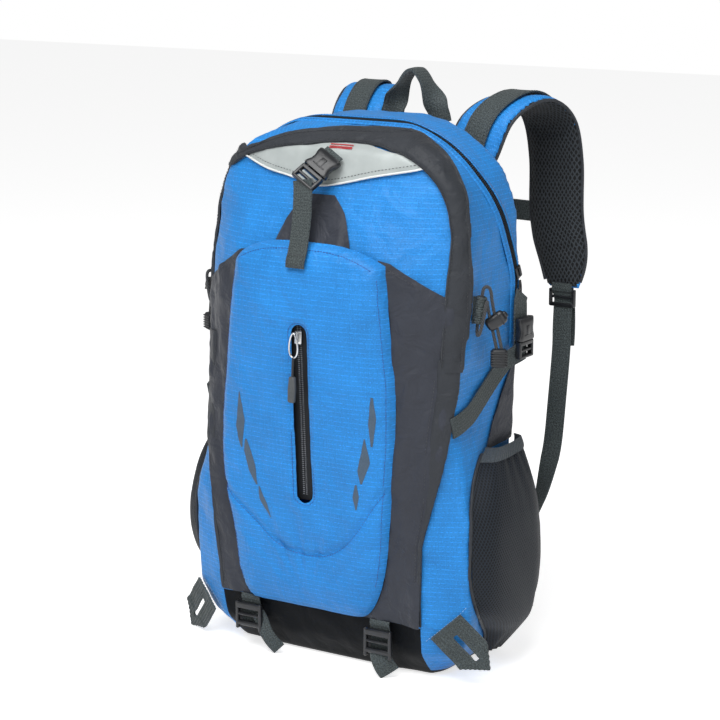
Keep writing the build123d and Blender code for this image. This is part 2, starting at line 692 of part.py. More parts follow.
# ---- gear loops: folded webbing with a slit, sewn across the swollen lower corners ----
LOOP_THICK = 3.0
SLIT = 8.0
LOOP_ROOT = (131.3, -66.0, 57.2)          # middle of the right-hand loop's root
LOOP_ALONG = (0.697, 0.225, 0.681)        # along its root
LOOP_OUT = (0.398, -0.915, -0.105)        # the way its outer face looks
LEFT_LOOP_DROP = 15.0
LOOP = [(-18.2, 0), (18.2, 0), (18.2, 35), (2, 56), (-18.2, 38)]
for tag, side in SIDES.items():
    root = Vector(side * LOOP_ROOT[0], LOOP_ROOT[1], LOOP_ROOT[2] - (LEFT_LOOP_DROP if side < 0 else 0))
    along = Vector(LOOP_ALONG[0], side * LOOP_ALONG[1], side * LOOP_ALONG[2])
    outwards = Vector(side * LOOP_OUT[0], LOOP_OUT[1], LOOP_OUT[2])
    with BuildPart() as gear_loop:
        with BuildSketch(Plane(origin=root + outwards * GAP, x_dir=along, z_dir=outwards)):
            with BuildLine():
                Polyline(*[(x, -z) for x, z in LOOP], close=True)
            make_face()
            with Locations((0, -25)):
                Rectangle(SLIT, 34, mode=Mode.SUBTRACT)
        extrude(amount=LOOP_THICK)
    finish(gear_loop.part, f"gear_loop_{tag}")

# ---- harness: shoulder pads with their webbing, lower webbing, sternum strap ----
# Centre line of each pad from its root, over the crest, to its end.  The two hang differently.
PAD_ROUTES = {
    "r": [(74, 66, 452), (84, 76, 490), (97, 98, 508), (107, 122, 508), (113, 146, 488),
          (116, 155, 450), (119, 152, 400), (130, 145, 357), (134, 138, 333)],
    "l": [(-66, 66, 452), (-67, 76, 490), (-70, 98, 510), (-73, 122, 510), (-84, 146, 489),
          (-97, 155, 450), (-112, 152, 400), (-126, 145, 357), (-134, 138, 333)],
}
STATIONS = 22            # rectangles along each pad
LOWER_ROUTE = [(134.5, 136, 313.5), (138, 130, 274), (140, 113, 190), (139, 98, 150), (137, 85, 128)]


def strap_stations(route, width, thick, rise=0.0, count=STATIONS):
    """Rectangles across a strap that runs in the YZ direction, risen off its centre line."""
    with BuildLine() as centre:
        Spline(*route)
    stations = []
    for i in range(count):
        along = centre.line % (i / (count - 1))
        along = Vector(0, along.Y, along.Z).normalized()
        outwards = Vector(0, -along.Z, along.Y)
        place = centre.line @ (i / (count - 1)) + outwards * rise
        with BuildSketch(Plane(origin=place, x_dir=(1, 0, 0), z_dir=along)) as section:
            Rectangle(width, thick)
        stations.append(section.sketch)
    return stations


for tag, route in PAD_ROUTES.items():
    with BuildPart() as shoulder_pad:
        loft(strap_stations(route, PAD_WIDTH, PAD_THICK), ruled=True)
    finish(shoulder_pad.part, f"shoulder_pad_{tag}")

RISE = PAD_THICK / 2 + 1.0 + WEBBING / 2
with BuildPart() as shoulder_webbing:
    for route in PAD_ROUTES.values():
        loft(strap_stations(route[1:], WEB_WIDE, WEBBING, RISE), ruled=True)
finish(shoulder_webbing.part, "shoulder_webbing")

for tag, side in SIDES.items():
    with BuildPart() as lower_webbing:
        mirrored = [(side * x, y, z) for x, y, z in LOWER_ROUTE]
        loft(strap_stations(mirrored, WEB_NARROW, WEBBING), ruled=True)
    finish(lower_webbing.part, f"lower_webbing_{tag}")

with BuildPart() as pad_ladder_locks:
    for side in SIDES.values():
        with BuildSketch(Plane.XZ.offset(-136)):
            with Locations((side * 134, 323)):
                RectangleRounded(27, 17, 2)
        extrude(amount=-4)
        with BuildSketch(Plane.XZ.offset(-130)):
            with Locations((side * 134, 320)):
                Rectangle(22, 6)
        extrude(amount=-20, mode=Mode.SUBTRACT)
finish(pad_ladder_locks.part, "pad_ladder_locks")

with BuildPart() as strap_anchors:
    for side in SIDES.values():
        seam_low = Vector(side * 119.5, 57.5, 62)
        seam_high = Vector(side * 121.5, 57.5, 112)
        outer = Vector(side * 138, 82, 124)
        anchor_plane = Plane(
            origin=seam_low,
            x_dir=(seam_high - seam_low),
            z_dir=(seam_high - seam_low).cross(outer - seam_low),
        )
        corners = [seam_low, seam_high, outer + Vector(-side * 6, -3, 4), outer + Vector(side * 1, 0, -6)]
        with BuildSketch(anchor_plane):
            with BuildLine():
                flat = [anchor_plane.to_local_coords(corner) for corner in corners]
                Polyline(*[(point.X, point.Y) for point in flat], close=True)
            make_face()
        extrude(amount=1.2, both=True)
finish(strap_anchors.part, "strap_anchors")

STERNUM_Y = 152.0
STERNUM_Z = 400.0
STERNUM_ENDS = (89.5, -80.5)
STERNUM_MOUTH = -4.0
with BuildPart() as sternum_webbing:
    for inner, outer in ((17.4, STERNUM_ENDS[0]), (-21.5, STERNUM_ENDS[1])):
        with BuildSketch(Plane.XZ.offset(-STERNUM_Y + WEBBING / 2)):
            with Locations(((inner + outer) / 2, STERNUM_Z)):
                Rectangle(abs(outer - inner), WEB_NARROW)
        extrude(amount=-WEBBING)
finish(sternum_webbing.part, "sternum_webbing")

STERNUM_PLANE = Plane(origin=(STERNUM_MOUTH, STERNUM_Y, STERNUM_Z), x_dir=(0, 0, -1), z_dir=(0, 1, 0))
buckle_female(STERNUM_PLANE, WEB_NARROW, "sternum_buckle_female")
buckle_male(STERNUM_PLANE, WEB_NARROW, "sternum_buckle_male", tunnel=True)

# ---- grab handle: an arch of webbing over the top of the back ----
HANDLE_X = 8.0
HANDLE_Y = (66.5, 90.0)
HANDLE_OUTSIDE = [(-34, 486.5), (-29, 508), (-14, 530), (0, 537), (14, 530), (29, 508), (34, 486.5)]
HANDLE_INSIDE = [(-30.5, 486.5), (-25.7, 507), (-11.8, 527), (0, 533), (11.8, 527), (25.7, 507), (30.5, 486.5)]
with BuildPart() as grab_handle:
    with BuildSketch(Plane.XZ.offset(-HANDLE_Y[0])):
        with BuildLine():
            Spline([(HANDLE_X + x, z) for x, z in HANDLE_OUTSIDE])
            Spline([(HANDLE_X + x, z) for x, z in HANDLE_INSIDE])
            Line((HANDLE_X - 34, 486.5), (HANDLE_X - 30.5, 486.5))
            Line((HANDLE_X + 34, 486.5), (HANDLE_X + 30.5, 486.5))
        make_face()
    extrude(amount=HANDLE_Y[0] - HANDLE_Y[1])
finish(grab_handle.part, "grab_handle")

with BuildPart() as handle_anchor:
    with BuildSketch(Plane.XZ.offset(-BACK_Y - GAP - 3)):
        with Locations((HANDLE_X, 474)):
            Rectangle(70, 24)
    extrude(amount=-(HANDLE_Y[0] - GAP - BACK_Y - GAP - 3))
finish(handle_anchor.part, "handle_anchor")
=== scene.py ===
import math

import bpy
import numpy as np
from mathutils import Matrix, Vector
from mathutils.bvhtree import BVHTree


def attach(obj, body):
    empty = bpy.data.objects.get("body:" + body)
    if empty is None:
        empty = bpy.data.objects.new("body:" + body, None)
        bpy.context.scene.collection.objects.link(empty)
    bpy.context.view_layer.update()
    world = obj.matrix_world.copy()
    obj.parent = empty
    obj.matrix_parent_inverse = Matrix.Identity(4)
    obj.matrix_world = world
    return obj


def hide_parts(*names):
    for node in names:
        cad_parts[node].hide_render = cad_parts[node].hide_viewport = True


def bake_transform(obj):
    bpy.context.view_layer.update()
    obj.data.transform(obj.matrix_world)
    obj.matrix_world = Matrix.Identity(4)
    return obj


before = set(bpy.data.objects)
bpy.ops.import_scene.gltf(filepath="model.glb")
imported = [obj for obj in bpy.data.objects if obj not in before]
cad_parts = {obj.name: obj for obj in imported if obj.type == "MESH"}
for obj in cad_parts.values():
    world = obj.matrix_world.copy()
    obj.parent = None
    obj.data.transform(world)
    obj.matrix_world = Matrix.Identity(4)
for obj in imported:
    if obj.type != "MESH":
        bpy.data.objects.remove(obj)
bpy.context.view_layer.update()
for name in ("Cube", "Light", "Camera"):
    if name in bpy.data.objects:
        bpy.data.objects.remove(bpy.data.objects[name])

MM = 0.001
SIDES = {"r": 1, "l": -1}


# ---- Studio: a pale floor that fades to white, one big soft lamp overhead, and the camera. ----
# The paper floor is matt white and keeps only the soft shadow of the bag.
def linear(code):
    """Linear colour of an sRGB hex code."""
    parts = [int(code[i:i + 2], 16) / 255 for i in (1, 3, 5)]
    return [c / 12.92 if c <= 0.04045 else ((c + 0.055) / 1.055) ** 2.4 for c in parts] + [1.0]


def add_node(tree, kind, inputs=None, **settings):
    """Add a node, set its properties, and set or link its inputs."""
    made = tree.nodes.new("ShaderNode" + kind)
    for key, value in settings.items():
        setattr(made, key, value)
    for socket, value in (inputs or {}).items():
        if isinstance(value, bpy.types.NodeSocket):
            tree.links.new(value, made.inputs[socket])
        else:
            made.inputs[socket].default_value = value
    return made


def blank_material(name):
    """A material with an empty node tree and its output node."""
    material = bpy.data.materials.new(name)
    material.use_nodes = True
    material.node_tree.nodes.clear()
    output = add_node(material.node_tree, "OutputMaterial")
    return material, material.node_tree, output


def finish_material(tree, output, shader):
    """Link a shader to the output of its material."""
    tree.links.new(shader.outputs[0], output.inputs["Surface"])


CAMERA_AZIMUTH = math.radians(33)
CAMERA_ELEVATION = math.radians(12)
CAMERA_DISTANCE = 2.1
AIM = Vector((0, 0, 0.2721)) - 0.0024 * Vector((math.cos(CAMERA_AZIMUTH), math.sin(CAMERA_AZIMUTH), 0))
camera_data = bpy.data.cameras.new("camera")
camera_data.lens = 113.5
camera_data.sensor_width = 36
camera = bpy.data.objects.new("camera", camera_data)
bpy.context.collection.objects.link(camera)
back = Vector((
    math.sin(CAMERA_AZIMUTH) * math.cos(CAMERA_ELEVATION),
    -math.cos(CAMERA_AZIMUTH) * math.cos(CAMERA_ELEVATION),
    math.sin(CAMERA_ELEVATION),
))
camera.location = AIM + back * CAMERA_DISTANCE
camera.rotation_euler = back.to_track_quat("Z", "Y").to_euler()
bpy.context.scene.camera = camera

bpy.ops.object.select_all(action="DESELECT")
bpy.ops.mesh.primitive_plane_add(size=12, location=(0, 0, -0.0005))
floor = bpy.context.object
floor.name = "floor"
paper, tree, output = blank_material("matt_white_paper")
seen = add_node(tree, "LightPath")
diffuse = add_node(tree, "BsdfDiffuse", {"Color": linear("#f4f4f4")})
glow = add_node(tree, "Emission", {"Color": (1, 1, 1, 1), "Strength": 0.66})
lit = add_node(tree, "AddShader", {0: diffuse.outputs[0], 1: glow.outputs[0]})
either = add_node(
    tree, "Math",
    {0: seen.outputs["Is Camera Ray"], 1: seen.outputs["Is Glossy Ray"]}, operation="MAXIMUM",
)
shown = add_node(
    tree, "MixShader",
    {0: either.outputs[0], 1: diffuse.outputs[0], 2: lit.outputs[0]},
)
finish_material(tree, output, shown)
floor.data.materials.append(paper)

world = bpy.data.worlds.new("studio")
bpy.context.scene.world = world
world.use_nodes = True
tree = world.node_tree
tree.nodes.clear()
ray = add_node(tree, "LightPath")
white = add_node(
    tree, "Math",
    {0: ray.outputs["Is Camera Ray"], 1: ray.outputs["Is Transmission Ray"]}, operation="MAXIMUM",
)
strength = add_node(
    tree, "MapRange",
    {"Value": white.outputs[0], "To Min": 0.28, "To Max": 1.0},
)
sky = add_node(tree, "Background", {"Color": (1, 1, 1, 1), "Strength": strength.outputs[0]})
add_node(tree, "OutputWorld", {"Surface": sky.outputs[0]})


def soft_lamp(name, place, aim, size, watts):
    """A square area lamp that points at a place."""
    data = bpy.data.lights.new(name, "AREA")
    data.energy = watts
    data.size = size
    lamp = bpy.data.objects.new(name, data)
    bpy.context.collection.objects.link(lamp)
    lamp.location = place
    lamp.rotation_euler = (Vector(place) - Vector(aim)).to_track_quat("Z", "Y").to_euler()


soft_lamp("top_softbox", (0.25, -1.1, 1.9), (0, 0, 0.3), 1.4, 41)
soft_lamp("right_softbox", (2.3, -1.3, 0.8), (0, 0, 0.25), 1.4, 10)
soft_lamp("front_softbox", (-0.7, -2.6, 0.9), (0, 0, 0.25), 1.6, 5)
bpy.context.scene.view_settings.view_transform = "Standard"


# ---- Shell of the bag: coated ripstop nylon, cut to an arch, stuffed full, with soft edges. ----
# One skin is shaped first and then cut at its seams into the main part, the front and the base.
BAND_EACH_MM = 0.3142  # the scale at which a wave texture repeats each millimetre


def woven(name, colour, pitch, thread, sheen, roughness, grid=None, coarse=0.0, speckle=None, shine=0.2, fleck=0.9):
    """Plain-woven cloth: threads each pitch mm, with a ripstop thread each grid mm painted lighter as a highlight."""
    material, tree, output = blank_material(name)
    place = add_node(tree, "UVMap")
    in_mm = add_node(tree, "VectorMath", {0: place.outputs[0], "Scale": 1000.0}, operation="SCALE")
    across = add_node(
        tree, "TexWave", {"Vector": in_mm.outputs[0], "Scale": BAND_EACH_MM / pitch}, bands_direction="X"
    )
    along = add_node(
        tree, "TexWave", {"Vector": in_mm.outputs[0], "Scale": BAND_EACH_MM / pitch}, bands_direction="Y"
    )
    weave = add_node(
        tree, "Math", {0: across.outputs["Fac"], 1: along.outputs["Fac"]}, operation="MULTIPLY"
    )
    height = add_node(tree, "Math", {0: weave.outputs[0], 1: thread}, operation="MULTIPLY")
    mottle = add_node(
        tree, "TexNoise", {"Vector": in_mm.outputs[0], "Scale": 0.02, "Detail": 5.0, "Roughness": 0.6}
    )
    shade = add_node(
        tree, "MapRange",
        {"Value": mottle.outputs["Fac"], "From Min": 0.3, "From Max": 0.7, "To Min": 0.88, "To Max": 1.1},
    )
    tone = shade.outputs[0]
    if grid:
        dashes = add_node(
            tree, "TexNoise", {"Vector": in_mm.outputs[0], "Scale": 0.55, "Detail": 2.0}
        )
        # The grid threads are painted lighter, a painted highlight where they catch the light; the level ones (Y) more
        # than the upright ones.
        for direction, grid_highlight in (("X", 1.08), ("Y", 1.42)):
            rib = add_node(
                tree, "TexWave", {"Vector": in_mm.outputs[0], "Scale": BAND_EACH_MM / grid},
                bands_direction=direction,
            )
            ridge = add_node(
                tree, "MapRange",
                {"Value": rib.outputs["Fac"], "From Min": 0.86, "From Max": 0.99, "To Min": 0.0, "To Max": 1.0},
            )
            height = add_node(
                tree, "Math", {0: ridge.outputs[0], 1: 0.14, 2: height.outputs[0]},
                operation="MULTIPLY_ADD",
            )
            broken = add_node(
                tree, "MapRange",
                {"Value": dashes.outputs["Fac"], "From Min": 0.4, "From Max": 0.56, "To Min": 1.0, "To Max": grid_highlight},
            )
            lighter = add_node(
                tree, "MapRange",
                {"Value": ridge.outputs[0], "To Min": 1.0, "To Max": broken.outputs[0]},
            )
            tone = add_node(
                tree, "Math", {0: tone, 1: lighter.outputs[0]}, operation="MULTIPLY"
            ).outputs[0]
    if speckle:
        dots = add_node(
            tree, "TexNoise", {"Vector": in_mm.outputs[0], "Scale": fleck, "Detail": 2.0}
        )
        ramp = add_node(
            tree, "MapRange",
            {"Value": dots.outputs["Fac"], "From Min": 0.35, "From Max": 0.65, "To Min": speckle[0],
             "To Max": speckle[1]},
        )
        tone = add_node(
            tree, "Math", {0: tone, 1: ramp.outputs[0]}, operation="MULTIPLY"
        ).outputs[0]
    tinted = add_node(
        tree, "VectorMath", {0: linear(colour)[:3], "Scale": tone}, operation="SCALE"
    )
    bump = add_node(tree, "Bump", {"Height": height.outputs[0], "Distance": 0.001, "Strength": 0.55})
    if coarse:
        creases = add_node(
            tree, "TexNoise",
            {"Vector": in_mm.outputs[0], "Scale": 0.045, "Detail": 4.0, "Distortion": 0.6},
        )
        bump = add_node(
            tree, "Bump",
            {"Height": creases.outputs["Fac"], "Distance": coarse, "Strength": 0.5, "Normal": bump.outputs[0]},
        )
    shader = add_node(
        tree, "BsdfPrincipled",
        {"Base Color": tinted.outputs[0], "Roughness": roughness, "Sheen Weight": sheen,
         "Sheen Roughness": 0.4, "Specular IOR Level": shine, "Normal": bump.outputs[0]},
    )
    finish_material(tree, output, shader)
    return material


BLUE = "#2380cb"
# Light ripstop nylon, coated behind: clear blue with a faint sheen, a grid of thicker threads painted
# lighter where they catch the light, a painted highlight, and soft creases. Threads and grid are drawn coarser than
# real ones, to show.
ripstop = woven("blue_ripstop_nylon", BLUE, 1.1, 0.12, 0.12, 0.5, grid=4.3, coarse=0.006,
                speckle=(0.86, 1.12), shine=0.3)
# Coated lining: near-black, smooth and dull.
lining = woven("black_coated_nylon_lining", "#22262b", 1.2, 0.1, 0.1, 0.6)

# Height, half width in front, half width at the back, y of the front edge, y of the middle,
# and how far the side swells out behind its front edge, in mm.
SECTIONS = np.array([
    (0, 106, 112, -44, -50, 4), (25, 111, 116, -68, -66, 27), (52, 110, 117, -74, -71.5, 41),
    (130, 113.5, 122, -79, -78, 38), (200, 127, 128, -67, -82, 12), (232, 130, 129.4, -61, -84, 2),
    (270, 133.5, 131, -54, -86.5, 0), (340, 137.5, 133, -46, -90, 0), (370, 137, 134, -43, -88.5, 0),
    (400, 134, 134, -40, -78, 0), (445, 136, 136, -34, -60, 0), (475, 136, 136, -28, -51, 0),
    (489, 136, 136, -20, -26, 0), (500, 136, 136, 20, 18, 0),
])
FULLEST = 0.14
BACK_Y = 55.0
DOME = 3.2
ARCH_Z = 400.0
ARCH_HALF = 134.0
ARCH_RISE = 99.0
BASE_SEAM_Z = 52.0
SPLIT_Y = -20.0


def section_at(z):
    """Front and back half widths, y of the edge and of the middle, and the swell at a height in mm."""
    return [np.interp(z, SECTIONS[:, 0], SECTIONS[:, k]) for k in (1, 2, 3, 4, 5)]


def front_y(x, z):
    """y of the bulging front, in mm."""
    half, _, edge_y, middle_y, _ = section_at(z)
    return edge_y + (middle_y - edge_y) * (1 - np.minimum(np.abs(x) / half, 1) ** DOME)


def side_x(y, z):
    """Half width of the bag on its side, in mm."""
    front_half, back_half, edge_y, _, swell = section_at(z)
    t = (y - edge_y) / (BACK_Y - edge_y)
    rise = np.clip(np.minimum(t / FULLEST, (1 - t) / (1 - FULLEST)), 0, None)
    return front_half + (back_half - front_half) * t + swell * rise


def arch_point(turn, reach=0.0):
    """x and z of the arch at an angle from the right-hand foot, moved outwards by reach mm."""
    across = np.sign(np.cos(turn)) * np.abs(np.cos(turn)) ** 0.8 * (ARCH_HALF + reach)
    return across, ARCH_Z + (ARCH_RISE + reach) * np.sin(turn)


def lone(piece):
    """Make one object the only selected and the active one."""
    bpy.ops.object.select_all(action="DESELECT")
    piece.select_set(True)
    bpy.context.view_layer.objects.active = piece


def set_uv(piece, coords):
    """Give every vertex its own place on the cloth, in metres."""
    layer = piece.data.uv_layers.active or piece.data.uv_layers.new(name="UVMap")
    corner = np.empty(len(piece.data.loops), int)
    piece.data.loops.foreach_get("vertex_index", corner)
    layer.data.foreach_set("uv", np.asarray(coords, float)[corner].reshape(-1))


def grid_piece(name, rows):
    """A grid primitive whose vertices lie on rows of points in mm, with its cloth places as UVs."""
    rows = np.asarray(rows, float)
    bpy.ops.object.select_all(action="DESELECT")
    bpy.ops.mesh.primitive_grid_add(x_subdivisions=rows.shape[1] - 1, y_subdivisions=rows.shape[0] - 1)
    piece = bpy.context.object
    piece.name = name
    piece.data.vertices.foreach_set("co", rows.reshape(-1) * MM)
    across = np.linalg.norm(np.diff(rows, axis=1), axis=2)
    along = np.linalg.norm(np.diff(rows, axis=0), axis=2)
    u = np.concatenate([np.zeros((len(rows), 1)), np.cumsum(across, axis=1)], axis=1)
    u -= u[:, -1:] / 2
    v = np.concatenate([np.zeros((1, rows.shape[1])), np.cumsum(along, axis=0)], axis=0)
    v = np.repeat(v.mean(axis=1, keepdims=True), rows.shape[1], axis=1)
    set_uv(piece, np.stack([u, v], axis=2).reshape(-1, 2) * MM)
    return piece


def modify(piece, kind, **settings):
    """Add a modifier and apply it."""
    lone(piece)
    added = piece.modifiers.new(kind.lower(), kind)
    for key, value in settings.items():
        setattr(added, key, value)
    bpy.ops.object.modifier_apply(modifier=added.name)


def on_whole_mesh(piece, *steps):
    """Run edit-mode steps, each an operator and its settings, on all of a mesh."""
    lone(piece)
    bpy.ops.object.mode_set(mode="EDIT")
    bpy.ops.mesh.select_all(action="SELECT")
    for step, settings in steps:
        step(**settings)
    bpy.ops.object.mode_set(mode="OBJECT")


FACE_OUT = (bpy.ops.mesh.normals_make_consistent, {"inside": False})


def weld(piece, distance=0.01 * MM, outwards=True):
    """Merge what coincides and turn the faces outwards."""
    merge = (bpy.ops.mesh.remove_doubles, {"threshold": distance})
    on_whole_mesh(piece, merge, *([FACE_OUT] if outwards else []))


def close_ends(piece):
    """Fill the open ends of a mesh and turn its faces outwards."""
    on_whole_mesh(piece, (bpy.ops.mesh.fill_holes, {"sides": 0}), FACE_OUT)


def get_points(piece):
    """Vertices of a mesh as rows of x, y, z in mm."""
    points = np.empty(len(piece.data.vertices) * 3)
    piece.data.vertices.foreach_get("co", points)
    return points.reshape(-1, 3) / MM


def set_points(piece, points):
    """Move the vertices of a mesh to rows of x, y, z in mm."""
    piece.data.vertices.foreach_set("co", (points * MM).reshape(-1))
    piece.data.update()


def bumps(points, size, seed):
    """Smooth unevenness between about -1 and 1, the same on every run, with lumps of a size in mm."""
    total = np.zeros(len(points))
    draw = np.random.default_rng(seed)
    for _ in range(10):
        heading = draw.normal(size=3)
        heading /= np.linalg.norm(heading)
        wave = draw.uniform(0.7, 1.6) * 2 * math.pi / size
        total += np.sin(points @ heading * wave + draw.uniform(0, 2 * math.pi))
    return total / 3.2


def outfit(piece, material, slot, body, *nodes):
    """Material, body and the CAD nodes that a piece stands for; the slot is not used."""
    piece.data.materials.clear()
    for one in material if isinstance(material, (list, tuple)) else [material]:
        piece.data.materials.append(one)
    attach(piece, body)
    if nodes:
        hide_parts(*nodes)
    lone(piece)
    bpy.ops.object.shade_smooth_by_angle(angle=math.radians(50))


RING_STEPS = 30
levels = np.concatenate([np.arange(0, 489, 8), [489, 494, 500.5]])
rings = []
for z in levels:
    front_half, back_half, edge_y, middle_y, _ = section_at(z)
    t = np.linspace(-1, 1, RING_STEPS)
    dome = np.stack([t * front_half, edge_y + (middle_y - edge_y) * (1 - np.abs(t) ** DOME)], axis=1)
    s = np.concatenate([np.linspace(0, FULLEST, 5)[1:], np.linspace(FULLEST, 1, 9)[1:]])
    way = edge_y + (BACK_Y - edge_y) * s
    right = np.column_stack([side_x(way, z), way])
    rear = np.array([back_half, BACK_Y]) + (np.array([-2 * back_half, 0])) * np.linspace(0, 1, 24)[1:, None]
    left = np.vstack([right[-2::-1], dome[-1]]) * (-1, 1)
    ring = np.concatenate([dome, right, rear, left])
    rings.append(np.column_stack([ring, np.full(len(ring), z)]))
bag = grid_piece("bag", rings)
weld(bag, outwards=False)
close_ends(bag)

turns = np.linspace(0, math.pi, 61)
arch_x, arch_z = arch_point(turns)
outline = np.concatenate([[(150, -5), (150, ARCH_Z)], np.column_stack([arch_x, arch_z]), [(-150, ARCH_Z), (-150, -5)]])
prism = grid_piece("arch", [[(x, y, z) for x, z in np.vstack([outline, outline[:1]])] for y in (-150, 100)])
weld(prism, outwards=False)
close_ends(prism)
modify(bag, "BOOLEAN", object=prism, operation="INTERSECT", solver="EXACT")
bpy.data.objects.remove(prism)
VOXEL = 4.0
modify(bag, "REMESH", mode="VOXEL", voxel_size=VOXEL * MM, use_smooth_shade=True)
modify(bag, "SMOOTH", factor=0.5, iterations=6)
points = get_points(bag)
points[:, 2] = np.maximum(points[:, 2], 0.0)
set_points(bag, points)

skin = BVHTree.FromPolygons([Vector(p) for p in points], [tuple(f.vertices) for f in bag.data.polygons])


def wrap(points, lift=0.0):
    """Bring points in mm onto the bag's skin and lift them off it."""
    lifts = np.broadcast_to(lift, len(points))
    laid = np.empty((len(points), 3))
    for i, (point, height) in enumerate(zip(points, lifts)):
        place, normal, _, _ = skin.find_nearest(Vector(point))
        laid[i] = place + normal * float(height)
    return laid


def on_front(x, z, lift=0.0):
    """Places on the bulging front of the bag."""
    x = np.asarray(x, float)
    z = np.asarray(z, float)
    return wrap(np.column_stack([x, front_y(x, z), z]), lift)


def cut_at(piece, place, normal, where):
    """Cut a mesh with a plane, among the faces whose middles are where."""
    lone(piece)
    middles = np.empty(len(piece.data.polygons) * 3)
    piece.data.polygons.foreach_get("center", middles)
    chosen = where(middles.reshape(-1, 3) / MM)
    select_faces(piece, chosen)
    bpy.ops.object.mode_set(mode="EDIT")
    bpy.ops.mesh.bisect(plane_co=Vector(place) * MM, plane_no=normal)
    bpy.ops.object.mode_set(mode="OBJECT")


def select_faces(piece, chosen):
    """Select only the chosen faces of a mesh."""
    bpy.context.tool_settings.mesh_select_mode = (False, False, True)
    piece.data.vertices.foreach_set("select", np.zeros(len(piece.data.vertices), bool))
    piece.data.edges.foreach_set("select", np.zeros(len(piece.data.edges), bool))
    piece.data.polygons.foreach_set("select", np.asarray(chosen, bool))


def take_off(piece, name, chosen):
    """Separate the chosen faces of a mesh as a piece of their own."""
    lone(piece)
    select_faces(piece, chosen)
    bpy.ops.object.mode_set(mode="EDIT")
    bpy.ops.mesh.separate(type="SELECTED")
    bpy.ops.object.mode_set(mode="OBJECT")
    part = [one for one in bpy.context.selected_objects if one is not piece][0]
    part.name = name
    return part


def face_middles(piece):
    """Middles of the faces in mm, and their normals."""
    middles = np.empty(len(piece.data.polygons) * 3)
    normals = np.empty(len(piece.data.polygons) * 3)
    piece.data.polygons.foreach_get("center", middles)
    piece.data.polygons.foreach_get("normal", normals)
    return middles.reshape(-1, 3) / MM, normals.reshape(-1, 3)


# Lumps of the stuffed bag: soft hollows a hand wide, and finer creases.
soft = get_points(bag)
normals = np.empty(len(bag.data.vertices) * 3)
bag.data.vertices.foreach_get("normal", normals)
swell = 0.7 * bumps(soft, 75, 1) + 0.35 * bumps(soft, 28, 2) - 0.5
swell *= np.clip(soft[:, 2] / 20, 0, 1)
set_points(bag, soft + normals.reshape(-1, 3) * swell[:, None])

cut_at(bag, (0, SPLIT_Y, 0), (0, 1, 0), lambda m: m[:, 2] > -1)
cut_at(bag, (0, 0, BASE_SEAM_Z), (0, 0, 1), lambda m: m[:, 1] < SPLIT_Y)
UNDER_Z = 5.0
BASE_HALF = 109  # half width of the black base at its seam, and how fast it narrows below
BASE_LEAN = 0.08
cut_at(bag, (0, 0, UNDER_Z), (0, 0, 1), lambda m: m[:, 2] < BASE_SEAM_Z)
for side in (1, -1):
    cut_at(
        bag, (side * BASE_HALF, 0, BASE_SEAM_Z), (1, 0, -side * BASE_LEAN),
        lambda m: (m[:, 2] < BASE_SEAM_Z) & (m[:, 1] < SPLIT_Y) & (m[:, 0] * side > 60),
    )
corner = np.empty(len(bag.data.loops), int)
middles, normals = face_middles(bag)
points = get_points(bag)
bag.data.loops.foreach_get("vertex_index", corner)
owner = np.repeat(np.arange(len(bag.data.polygons)), [len(f.vertices) for f in bag.data.polygons])
x, y, z = points[corner].T
around = np.where(z < ARCH_Z, z, ARCH_Z + 130 * np.arctan2(z - ARCH_Z, np.abs(x)))
facing = np.abs(normals[owner, 1]) > 0.6
places = np.where(facing[:, None], np.column_stack([x, z]), np.column_stack([y, around]))
cloth = bag.data.uv_layers.active or bag.data.uv_layers.new(name="UVMap")
cloth.data.foreach_set("uv", (places * MM).reshape(-1))

half_here = BASE_HALF - BASE_LEAN * (BASE_SEAM_Z - middles[:, 2])
under = middles[:, 2] < UNDER_Z
low = (middles[:, 2] < BASE_SEAM_Z) & (middles[:, 1] < SPLIT_Y) & (np.abs(middles[:, 0]) < half_here)
base = take_off(bag, "base_panel_cloth", low | under)
middles, _ = face_middles(bag)
front = take_off(bag, "front_shell_cloth", middles[:, 1] < SPLIT_Y)
bag.name = "main_shell_cloth"
# Heavier nylon under a black coating: almost no sheen, so that the base reads as flat black.
coated = woven("black_coated_nylon", "#0a0d11", 1.3, 0.1, 0.0, 0.5, coarse=0.003, shine=0.08)
for piece, cloth, slot, node in (
    (bag, ripstop, "blue_nylon", "main_shell"),
    (front, ripstop, "blue_nylon", "front_shell"),
    (base, coated, "black_nylon", "base_panel"),
):
    modify(piece, "SOLIDIFY", thickness=1.4 * MM, offset=-1)
    outfit(piece, cloth, slot, "pack", node)
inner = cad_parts["divider"]
inner.data.materials.clear()
inner.data.materials.append(lining)


# ---- Front pocket: a puffed shield of the same ripstop with a slot for its zip, ----
# ---- gathered under a curved seam near its foot, its top edge hemmed.           ----
def smooth_line(points, count):
    """Places evenly spaced along a smooth line through some points."""
    points = np.asarray(points, float)
    ends = [2 * points[0] - points[1], 2 * points[-1] - points[-2]]
    knots = np.vstack([ends[:1], points, ends[1:]])
    fine = []
    for i in range(1, len(knots) - 2):
        a, b, c, d = knots[i - 1:i + 3]
        t = np.linspace(0, 1, 24, endpoint=False)[:, None]
        fine.append(0.5 * (2 * b + (c - a) * t + (2 * a - 5 * b + 4 * c - d) * t**2 + (3 * b - a - 3 * c + d) * t**3))
    fine = np.vstack(fine + [points[-1:]])
    run = np.concatenate([[0], np.cumsum(np.linalg.norm(np.diff(fine, axis=0), axis=1))])
    wanted = np.linspace(0, run[-1], count)
    return np.column_stack([np.interp(wanted, run, fine[:, k]) for k in range(points.shape[1])])


